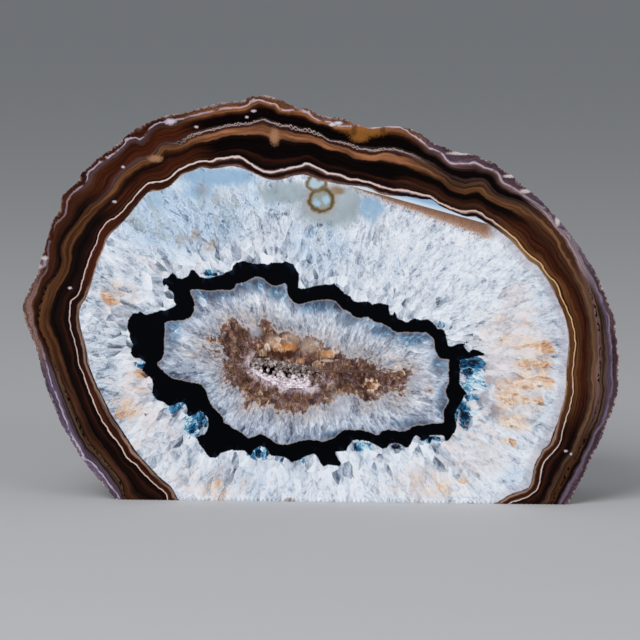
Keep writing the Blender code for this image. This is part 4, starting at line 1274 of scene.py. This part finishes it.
def inner_quartz(finish, place):
    """Fine fibres inside the black ring, darkening to smoky brown towards the pocket."""
    grain = finish.reading("inner_around"), finish.reading("inner_growth"), finish.axis(place, "Y")
    inwards = finish.reading("ring_inside")
    broad = wisps(finish, grain, 2.2, twist=2.0)
    small = wisps(finish, grain, 0.6, stretch=2.0, seed=5.0, twist=0.8)
    fibre, own, _ = crystals(finish, grain, 1.2, 3.4, tilt=1.1, fibre=0.3)
    tuft, tuft_own, tuft_second = crystals(finish, grain, 2.6, 3.6, tilt=1.6, fibre=0.9)
    bright = 0.6 + (fibre - 0.5) * 0.7 + (tuft - 0.5) * 0.45 + (broad - 0.5) * 0.7
    bright = bright + (small - 0.5) * 0.9 - inwards.rise(2.4, 0.0) * 0.14 - finish.reading("shade") * 0.2
    colours = finish.ramp(bright, FIBRES)
    cool = (inwards + (broad - 0.5) * 6.0).rise(7.0, 0.0)
    colours = finish.multiplied(cool * 0.5, colours, tint(208, 226, 246))
    warm = (tuft_second + (broad - 0.5) * 1.0 + inwards.rise(2.0, 9.0) * 0.35).rise(0.8, 1.25)
    colours = finish.multiplied(warm * 0.6, colours, tint(246, 226, 208))
    blue = finish.reading("blue") + (small - 0.5) * 1.6 + (fibre - 0.5) * 0.8
    colours = finish.mix(blue.rise(0.15, 1.1) * 0.85, colours, finish.ramp(bright - 0.12, BLUES))

    glass, glass_own, glass_second = crystals(finish, grain, 2.1, 2.3, tilt=3.0, fibre=0.8)
    glass_edge = crystal_edges(finish, grain, 2.1, 2.3)
    tone = wisps(finish, grain, 2.8, stretch=1.0, seed=21.0)
    into = finish.reading("smoky") + (own - 0.5) * 1.6 + (tuft_own - 0.5) * 1.2 + (small - 0.5) * 1.8
    smoke = 0.45 + (glass - 0.5) * 0.8 + (small - 0.5) * 0.9 + (fibre - 0.5) * 0.3 + (tone - 0.5) * 0.9
    smoke = smoke + glass_edge.rise(0.05, 0.015) * (glass_own - 0.3) * 0.2
    smoky = finish.ramp(smoke, SMOKES)
    smoky = finish.mix(tone.rise(0.5, 0.36) * 0.85, smoky, finish.ramp(smoke, MAUVES))
    smoky = finish.mix(tone.rise(0.54, 0.66) * 0.8, smoky, finish.ramp(smoke, TANS))
    smoky = finish.multiplied(0.8, smoky, finish.ramp(glass_second, SMOKE_HUES))
    deep = finish.reading("dusk") + (glass_own - 0.5) * 0.8
    smoky = finish.multiplied(deep.rise(0.2, 0.8) * 0.6, smoky, tint(150, 128, 124))
    amber = finish.reading("ochre") + (small - 0.5) * 1.2 + (glass_own - 0.5) * 0.7
    smoky = finish.mix(amber.rise(0.4, 0.9) * 0.85, smoky, finish.ramp(smoke - 0.04, STAINED))
    colours = finish.mix(into.rise(-4.0, 0.4) * 0.4 + into.rise(-1.1, 0.5) * 0.58, colours, smoky)
    colours = finish.mix(hair_line(into + 0.35, 0.3) * 0.4, colours, tint(238, 234, 236))
    x, z = finish.axis(place, "X"), finish.axis(place, "Z")
    beneath = (33.0 - z - (x + 10.0) * 0.16 + (tone - 0.5) * 3.0).rise(-0.6, 0.8)
    beneath = beneath.math("MAXIMUM", x.rise(-15.5, -17.0))
    halo = (finish.reading("pocket") + (small - 0.5) * 2.2 + (glass_own - 0.5) * 1.6).rise(-2.2, 0.2)
    sparkle = (small * 0.5 + glass * 0.5).rise(0.35, 0.65)
    lilac = finish.mix(sparkle, tint(160, 138, 146), tint(226, 212, 222))
    colours = finish.mix(halo * beneath * 0.85, colours, lilac)
    colours = flecks(finish, place, colours, HEART_FLECKS, (small - 0.5) * 1.8 + (glass_own - 0.5) * 0.8)
    seam = inwards + (small - 0.5) * 0.3 - 0.14
    return finish.mix(hair_line(seam, 0.14) * 0.6, colours, tint(162, 148, 142))


# %% [markdown]
# What lies outside the ring comes together here: white quartz, blue crystals, chalcedony, flecks, and
# the black of the ring, with a few blue glints just inside its edge.

# %% From the bands to the black ring
QUARTZ_FLECKS = [
    ((180, 162, 144), 0.6, [(-35, 65, 0.8, 2.0), (-31, 67, 0.9, 1.2), (-27, 64, 0.8, 1.2)]),
    ((150, 138, 146), 0.6, [(42.5, 31, 1.5, 1.3), (41, 26.5, 1.4, 1.6), (43.5, 23.5, 1.2, 1.6)]),
    ((158, 150, 148), 0.5, [(-28.5, 78, 1.6, 2.0), (-26, 76, 1.4, 1.8), (44, 69.6, 2.2, 1.4)]),
    ((118, 66, 40), 0.6, [(-7.8, 0.4, 1.6, 0.7)]),
    ((240, 232, 236), 0.4, [(45, 33.5, 3, 3.4)]),
    ((56, 44, 46), 0.6, [(55.8, 40.4, 0.7, 0.25), (55.1, 29.8, 0.7, 0.3), (52.4, 34, 0.6, 0.3),
                         (48, 19.6, 0.6, 0.3)]),
]


def white_quartz(finish, place):
    """The outer quartz with the blue crystals, the still chalcedony and the black ring."""
    colours, facets, facet_own, small = outer_quartz(finish, place)
    blue = finish.reading("blue") + (facet_own - 0.5) * 0.9 + (small - 0.5) * 0.8
    deep = finish.reading("ring_outside").rise(-3.0, 0.0) * 0.2
    shades = finish.ramp(0.54 + (facets - 0.5) * 1.3 + (small - 0.5) * 1.3 - deep, BLUES)
    colours = finish.mix(blue.rise(0.42, 0.6), colours, shades)
    colours = still_waters(finish, place, colours, small)
    colours = flecks(finish, place, colours, QUARTZ_FLECKS, (small - 0.5) * 2.0 + (facet_own - 0.5) * 0.8)
    outside = finish.reading("ring_outside") + (small - 0.5) * 0.8
    glint = (facets * 0.6 + small * 0.4).rise(0.58, 0.78) * outside.rise(1.8, 0.2)
    black = finish.mix(glint * 0.6, tint(0, 1, 4), tint(18, 40, 66))
    return finish.mix(outside.rise(-0.1, 0.1), colours, black)


print("flecks in the quartz:", sum(len(ovals) for _, _, ovals in QUARTZ_FLECKS + HEART_FLECKS))

# %% [markdown]
# The rind is weathered rock: red-brown, grey-brown and a few lilac-white patches, with fine darker and
# lighter specks. The faces that were only sawn are duller than the polished one and show faint saw marks.

# %% The stone's finish


def rind_colours(finish, place):
    """Browns with a few lilac-white patches, with fine darker and lighter specks."""
    patch = finish.noise(place, 7.0, detail=4, rough=0.6)
    colours = finish.ramp(patch, [(0.3, (52, 30, 22)), (0.42, (78, 46, 32)), (0.5, (112, 88, 72)),
                                  (0.56, (92, 58, 44)), (0.62, (150, 136, 134)), (0.7, (176, 166, 172))])
    specks = finish.noise(place, 0.7, detail=3, rough=0.7)
    return finish.mix(1.0, colours, 0.45 + specks * 1.1, "MULTIPLY")


def stone_finish():
    """Skin, white quartz, inner quartz and rind, each a surface of its own, blended."""
    finish = Finish("banded_agate")
    place = finish.millimetres()
    across, depth, up = (finish.axis(place, name) for name in "XYZ")
    rind = finish.reading("rind").rise(0.35, 0.65)
    sawn = depth.rise(14.6, 14.9).math("MAXIMUM", up.rise(0.3, 0.1)) * (1 - rind)
    marks = finish.noise(finish.spot(across * 0.04, depth * 0.04, up * 1.4 + across * 0.3), 1.0, detail=3)
    grit = finish.noise(place, 0.35, detail=4, rough=0.7)
    height = sawn * marks * 0.05 + rind * grit * 0.5
    bump = finish.node("ShaderNodeBump", {}, {"Strength": 1.0, "Distance": 0.001, "Height": height})
    look = {"Roughness": 0.12 + sawn * 0.4, "Normal": bump, "Specular IOR Level": 0.05}

    edge = finish.reading("quartz_edge") + (finish.noise(place, 1.0) - 0.5) * 0.3
    within = finish.reading("ring_inside") + (finish.noise(place, 0.8) - 0.5) * 0.6
    skin = finish.surface({"Base Color": banded_skin(finish, place), **look})
    outer = finish.surface({"Base Color": white_quartz(finish, place), **look})
    inner = finish.surface({"Base Color": inner_quartz(finish, place), **look})
    rough = {**look, "Roughness": 0.85}
    crust = finish.surface({"Base Color": rind_colours(finish, place), **rough})
    heart = finish.blend(within.rise(-0.08, 0.08), outer, inner)
    cut_face = finish.blend(edge.rise(-0.1, 0.1), skin, heart)
    finish.wear(finish.blend(rind, cut_face, crust))
    return finish.material


stone.data.materials.clear()
stone.data.materials.append(stone_finish())
print("stone material nodes:", len(stone.data.materials[0].node_tree.nodes))

# %% [markdown]
# ## A flat map of the stone
#
# The finish is worked out from places and needs no flat map, but a copy of the stone that is taken to
# another program does, with its colours painted on one square. The polished face gets the top of that
# square. The back, at less than half the scale, the base and the rind, unrolled as two strips, share
# the rest.

# %% Lay the stone out flat
FRONT_SCALE = 0.992 / 149.6  # parts of the square for each millimetre of the face
BACK_SCALE = 0.44 / 149.6
STRIP_SCALE = 0.0029
BASE_SCALE = 0.0031
SHEET_LEFT = 0.004
FRONT_LOW = 0.318
STRIPS_LEFT = 0.462
BASE_LOW = 0.206
STRIP_PITCH = 0.096


def laid_out(piece, outline):
    """Fills the flat map of a piece: one place in the square for each corner of each face."""
    mesh = piece.data
    corners = np.empty(len(mesh.loops), dtype=np.int32)
    mesh.loops.foreach_get("vertex_index", corners)
    sides = np.empty(len(mesh.polygons), dtype=np.int32)
    mesh.polygons.foreach_get("loop_total", sides)
    centres = np.empty(len(mesh.polygons) * 3)
    mesh.polygons.foreach_get("center", centres)
    normals = np.empty(len(mesh.polygons) * 3)
    mesh.polygons.foreach_get("normal", normals)
    centres, normals = centres.reshape(-1, 3) / MM, normals.reshape(-1, 3)
    places = vertex_places(piece)[corners]
    hollow = inside_distance(centres[:, [0, 2]], rounded(POCKET)) > -1.5
    hollow &= centres[:, 1] < FRONT + 8
    front = (centres[:, 1] < FRONT + ON_PLANE) & (normals[:, 1] < -0.9) | hollow
    back = (centres[:, 1] > BACK - ON_PLANE) & (normals[:, 1] > 0.9)
    base = (centres[:, 2] < ON_PLANE) & (normals[:, 2] < -0.9)

    steps = np.linalg.norm(np.diff(outline, axis=0), axis=1)
    length = np.concatenate([[0], np.cumsum(steps)])
    angle = around_heart(outline)
    order = np.argsort(angle)
    along = np.interp(around_heart(places[:, [0, 2]]), angle[order], length[order])
    half_way = np.interp(180, angle[order], length[order])
    later = np.repeat(around_heart(centres[:, [0, 2]]) > 180, sides)

    low = places.min(axis=0)
    flat = places[:, [0, 2]] - low[[0, 2]]
    deep = places[:, 1] - FRONT
    strips = np.stack([np.abs(along - half_way), deep], axis=1)
    layout = strips * STRIP_SCALE + (STRIPS_LEFT, SHEET_LEFT)
    layout[later, 1] += STRIP_PITCH
    front, back, base = (np.repeat(kind, sides) for kind in (front, back, base))
    layout[front] = flat[front] * FRONT_SCALE + (SHEET_LEFT, FRONT_LOW)
    layout[back] = flat[back] * BACK_SCALE + (SHEET_LEFT, SHEET_LEFT)
    layout[base] = np.stack([flat[base, 0], deep[base]], axis=1) * BASE_SCALE + (STRIPS_LEFT, BASE_LOW)
    layer = mesh.uv_layers.new(name="OFBake")
    layer.data.foreach_set("uv", layout.astype(np.float32).ravel())
    return {"front": front.sum(), "back": back.sum(), "base": base.sum(), "all": len(layout)}


print("corners laid out:", laid_out(stone, skin[0]))
select_only(stone)
bpy.ops.object.shade_smooth_by_angle(angle=math.radians(40))
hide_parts(STONE)
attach(stone, "root")
print("stone faces:", len(stone.data.polygons))

# %% [markdown]
# ## The druse
#
# The small open pocket is lined with quartz points. One point is modelled, a six-sided prism with a
# six-faced tip, and copies of it are set on the measured crust. Most of them reach almost to the
# polished face. A few gaps are left open, where one looks down into the dark of the pocket.

# %% One quartz point


def make_point():
    """A crystal one unit high and one unit across, standing on the origin."""
    bpy.ops.object.select_all(action="DESELECT")
    bpy.ops.mesh.primitive_cylinder_add(vertices=6, radius=0.5, depth=0.7, location=(0, 0, 0.35))
    point = bpy.context.object
    point.name = "quartz_point"
    select_faces(point, lambda centre, normal: normal.z > 0.9)
    bpy.ops.object.mode_set(mode="EDIT")
    bpy.ops.mesh.poke(offset=0.3)
    bpy.ops.object.mode_set(mode="OBJECT")
    bpy.ops.object.transform_apply(location=True, rotation=False, scale=False)
    return point


point = make_point()
print("one quartz point:", len(point.data.polygons), "faces")

# %% [markdown]
# The copies stand on a jittered grid. A ray from the front finds the crust under each grid place, and
# the crystal runs from there to a tip near the face, leaning a little at random. A coarser grid puts
# smaller crystals between them, and a row of short ones leans out along the mouth of the pocket.

# %% Grow the druse
OPENINGS = [
    (-12.7, 32.8, 1.5, 1.0, 1), (-15.9, 34.2, 0.6, 0.4, 1), (-8.2, 32.4, 0.9, 0.4, 1),
    (-6.2, 31.7, 1.5, 0.4, 1), (-1.2, 32.3, 0.5, 0.8, 1), (-4.4, 30.6, 0.4, 0.3, 0.7),
    (-10.6, 31.2, 0.5, 0.4, 0.8),
]
chance = random.Random(5)


def grid_places(step):
    """Jittered places in the mouth of the pocket."""
    line = rounded(POCKET)
    low, high = line.min(axis=0), line.max(axis=0)
    across = np.arange(low[0], high[0], step)
    upwards = np.arange(low[1], high[1], step * 0.87)
    spots = np.array([(x + chance.uniform(-0.4, 0.4) * step, z + chance.uniform(-0.4, 0.4) * step)
                      for x in across for z in upwards])
    return spots[inside_distance(spots, line) > 0.12]


def crystal_copy(point, foot, tip, width):
    """A copy of the point that stands on its foot and reaches its tip."""
    crystal = point.copy()
    crystal.data = point.data.copy()
    bpy.context.scene.collection.objects.link(crystal)
    way = tip - foot
    for vertex in crystal.data.vertices:
        if 0.5 < vertex.co.z < 0.9:
            vertex.co.z = max(1 - chance.uniform(0.4, 0.8) * width / way.length, 0.2)
    turn = way.to_track_quat("Z", "Y")
    spin = Matrix.Rotation(chance.uniform(0, math.pi), 4, "Z")
    size = Matrix.Diagonal((width, width * chance.uniform(0.75, 1.2), way.length, 1.0))
    crystal.matrix_world = Matrix.Translation(foot) @ turn.to_matrix().to_4x4() @ spin @ size
    return crystal


def grow_druse(bowl, point, step, width, stand_back):
    """Crystals on the bowl, one for each place of a jittered grid."""
    copies = []
    spots = grid_places(step)
    for (x, z), open_here in zip(spots, patch_mask(spots, OPENINGS)):
        hit, floor, normal, _ = bowl.ray_cast(Vector((x, FRONT - 1, z)) * MM, Vector((0, 1, 0)))
        if not hit:
            continue
        depth = floor.y / MM - FRONT
        back = chance.uniform(*stand_back) + open_here * depth
        length = max(depth - back, chance.uniform(0.35, 0.6))
        lean = Vector((chance.uniform(-0.25, 0.25), -1, chance.uniform(-0.25, 0.25)))
        foot = floor + Vector((0, 0.15, 0)) * MM
        tip = foot + (lean.normalized() + normal * 0.1) * (length + 0.15) * MM
        copies.append(crystal_copy(point, foot, tip, width * chance.uniform(0.7, 1.35) * MM))
    return copies


def line_rim(point, step, width):
    """A row of short crystals along the mouth of the pocket, leaning outwards over its edge."""
    copies = []
    line = rounded(POCKET, step)
    middle = line.mean(axis=0)
    for place in line:
        out = (place - middle) / np.linalg.norm(place - middle)
        foot = place - out * chance.uniform(0.5, 0.8)
        tip = place + out * chance.uniform(0.0, 0.35)
        foot = Vector((foot[0], FRONT + chance.uniform(0.9, 1.3), foot[1])) * MM
        tip = Vector((tip[0], FRONT + chance.uniform(-0.1, 0.25), tip[1])) * MM
        copies.append(crystal_copy(point, foot, tip, width * chance.uniform(0.7, 1.3) * MM))
    return copies


druse = merged_copy(CRUST, "quartz_druse")
bowl_places = vertex_places(druse)
bowl_places[:, 1] = np.maximum(bowl_places[:, 1], FRONT + 0.5)
put_vertices(druse, bowl_places)
points = grow_druse(druse, point, step=0.62, width=0.95, stand_back=(-0.2, 0.35))
points += grow_druse(druse, point, step=0.8, width=0.6, stand_back=(0.1, 1.2))
points += line_rim(point, step=0.42, width=0.8)
bpy.ops.object.select_all(action="DESELECT")
for crystal in points:
    crystal.select_set(True)
druse.select_set(True)
bpy.context.view_layer.objects.active = druse
bpy.ops.object.join()
bpy.data.objects.remove(point)
crust_low, crust_high = (np.array(corner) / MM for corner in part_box(CRUST))
druse_places = np.clip(vertex_places(druse), crust_low + 0.02, crust_high - 0.02)
put_vertices(druse, druse_places)
print("druse:", len(points), "crystals,", len(druse.data.polygons), "faces")

# %% [markdown]
# The crystals are clear, so their colour is that of what lies behind: pinkish white along the lower
# lip and grey-brown at the upper left. Deep down they are darkened with painted shade.

# %% The druse's finish


def druse_finish():
    """Pinkish white low down, grey-brown above and on the right, darkened with depth by painted shade."""
    finish = Finish("drusy_quartz")
    place = finish.millimetres()
    x, y, z = (finish.axis(place, name) for name in "XYZ")
    grain = finish.noise(finish.spot(x, y * 0.4, z), 0.8, detail=3, rough=0.6)
    cloud = (finish.noise(place, 1.8) - 0.5) * 3.0
    above = z - 32.6 + (x + 10.0) * 0.16 + cloud
    upper = finish.ramp(grain, [(0.36, (92, 72, 62)), (0.5, (150, 134, 128)), (0.62, (216, 208, 210))])
    lower = finish.mix(grain.rise(0.34, 0.56), tint(196, 178, 188), tint(250, 242, 246))
    smoky = finish.ramp(grain, [(0.36, (84, 60, 52)), (0.5, (132, 104, 96)), (0.64, (196, 174, 172))])
    colours = finish.mix(above.rise(-0.3, 0.5), lower, upper)
    colours = finish.mix((x + cloud * 0.7).rise(-3.6, -2.0), colours, smoky)
    # Painted shade: the deeper a crystal lies in the pocket, the darker it is made.
    shades = finish.ramp((y - FRONT) / 4.0, [(0.06, (255, 255, 255)), (0.25, (214, 204, 202)),
                                            (0.5, (130, 112, 104)), (0.9, (44, 32, 28))])
    colours = finish.mix(1.0, colours, shades, "MULTIPLY")
    finish.set(finish.shader, {"Base Color": colours, "Roughness": 0.2, "Specular IOR Level": 0.35})
    return finish.material


druse.data.materials.clear()
druse.data.materials.append(druse_finish())
druse.data.polygons.foreach_set("material_index", [0] * len(druse.data.polygons))
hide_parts(CRUST)
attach(druse, "root")
print("druse from", druse_places.min(axis=0).round(2), "to", druse_places.max(axis=0).round(2))

# %% [markdown]
# ## Floor, light and camera
#
# The slice stands on a wide pale floor. One big soft light from the front and the upper left shows
# the polish without a hard glare, and a weaker one fills the right side. The camera looks slightly
# down from a little to the right, with a long lens, as the photograph does.

# %% Stage, lights and camera
FRAME_WIDTH = 0.1596  # metres across the picture at the front face
SENSOR = 36  # mm


def make_floor():
    """A wide pale floor at the height of the base."""
    bpy.ops.object.select_all(action="DESELECT")
    bpy.ops.mesh.primitive_plane_add(size=120.0, location=(0, 0, 0))
    floor = bpy.context.object
    floor.name = "pale_floor"
    finish = Finish("pale_floor")
    finish.set(finish.shader, {"Base Color": tint(206, 206, 208), "Roughness": 0.8,
                               "Specular IOR Level": 0.2})
    floor.data.materials.append(finish.material)


def soft_light(name, place, size, power):
    """A square light that faces the slice."""
    light = bpy.data.lights.new(name, "AREA")
    light.size = size
    light.energy = power
    lamp = bpy.data.objects.new(name, light)
    bpy.context.scene.collection.objects.link(lamp)
    lamp.location = place
    lamp.rotation_euler = (Vector((0, 0, 0.045)) - lamp.location).to_track_quat("-Z", "Y").to_euler()


def make_camera(azimuth, elevation, distance, aim):
    """A long lens that frames the slice, whatever the distance."""
    round_y, up = math.radians(azimuth), math.radians(elevation)
    away = Vector((math.sin(round_y) * math.cos(up), -math.cos(round_y) * math.cos(up), math.sin(up)))
    lens = bpy.data.cameras.new("camera")
    lens.lens = SENSOR * distance / FRAME_WIDTH
    lens.clip_end = 200
    camera = bpy.data.objects.new("camera", lens)
    bpy.context.scene.collection.objects.link(camera)
    camera.location = aim + away * distance
    camera.rotation_euler = (-away).to_track_quat("-Z", "Y").to_euler()
    bpy.context.scene.camera = camera
    return camera


make_floor()
soft_light("key", (-0.55, -1.0, 0.95), size=0.9, power=12)
soft_light("fill", (0.9, -0.9, 0.5), size=0.9, power=5)
world = bpy.data.worlds.new("studio")
world.use_nodes = True
backdrop = world.node_tree.nodes["Background"].inputs
backdrop["Color"].default_value = (0.9, 0.95, 1.0, 1.0)
backdrop["Strength"].default_value = 0.27
bpy.context.scene.world = world
bpy.context.scene.view_settings.view_transform = "Standard"
middle_of_face = Vector((0.0001, FRONT * MM, 0.0459))
camera = make_camera(azimuth=4, elevation=6, distance=0.8, aim=middle_of_face)
print("camera at", [round(part, 3) for part in camera.location])
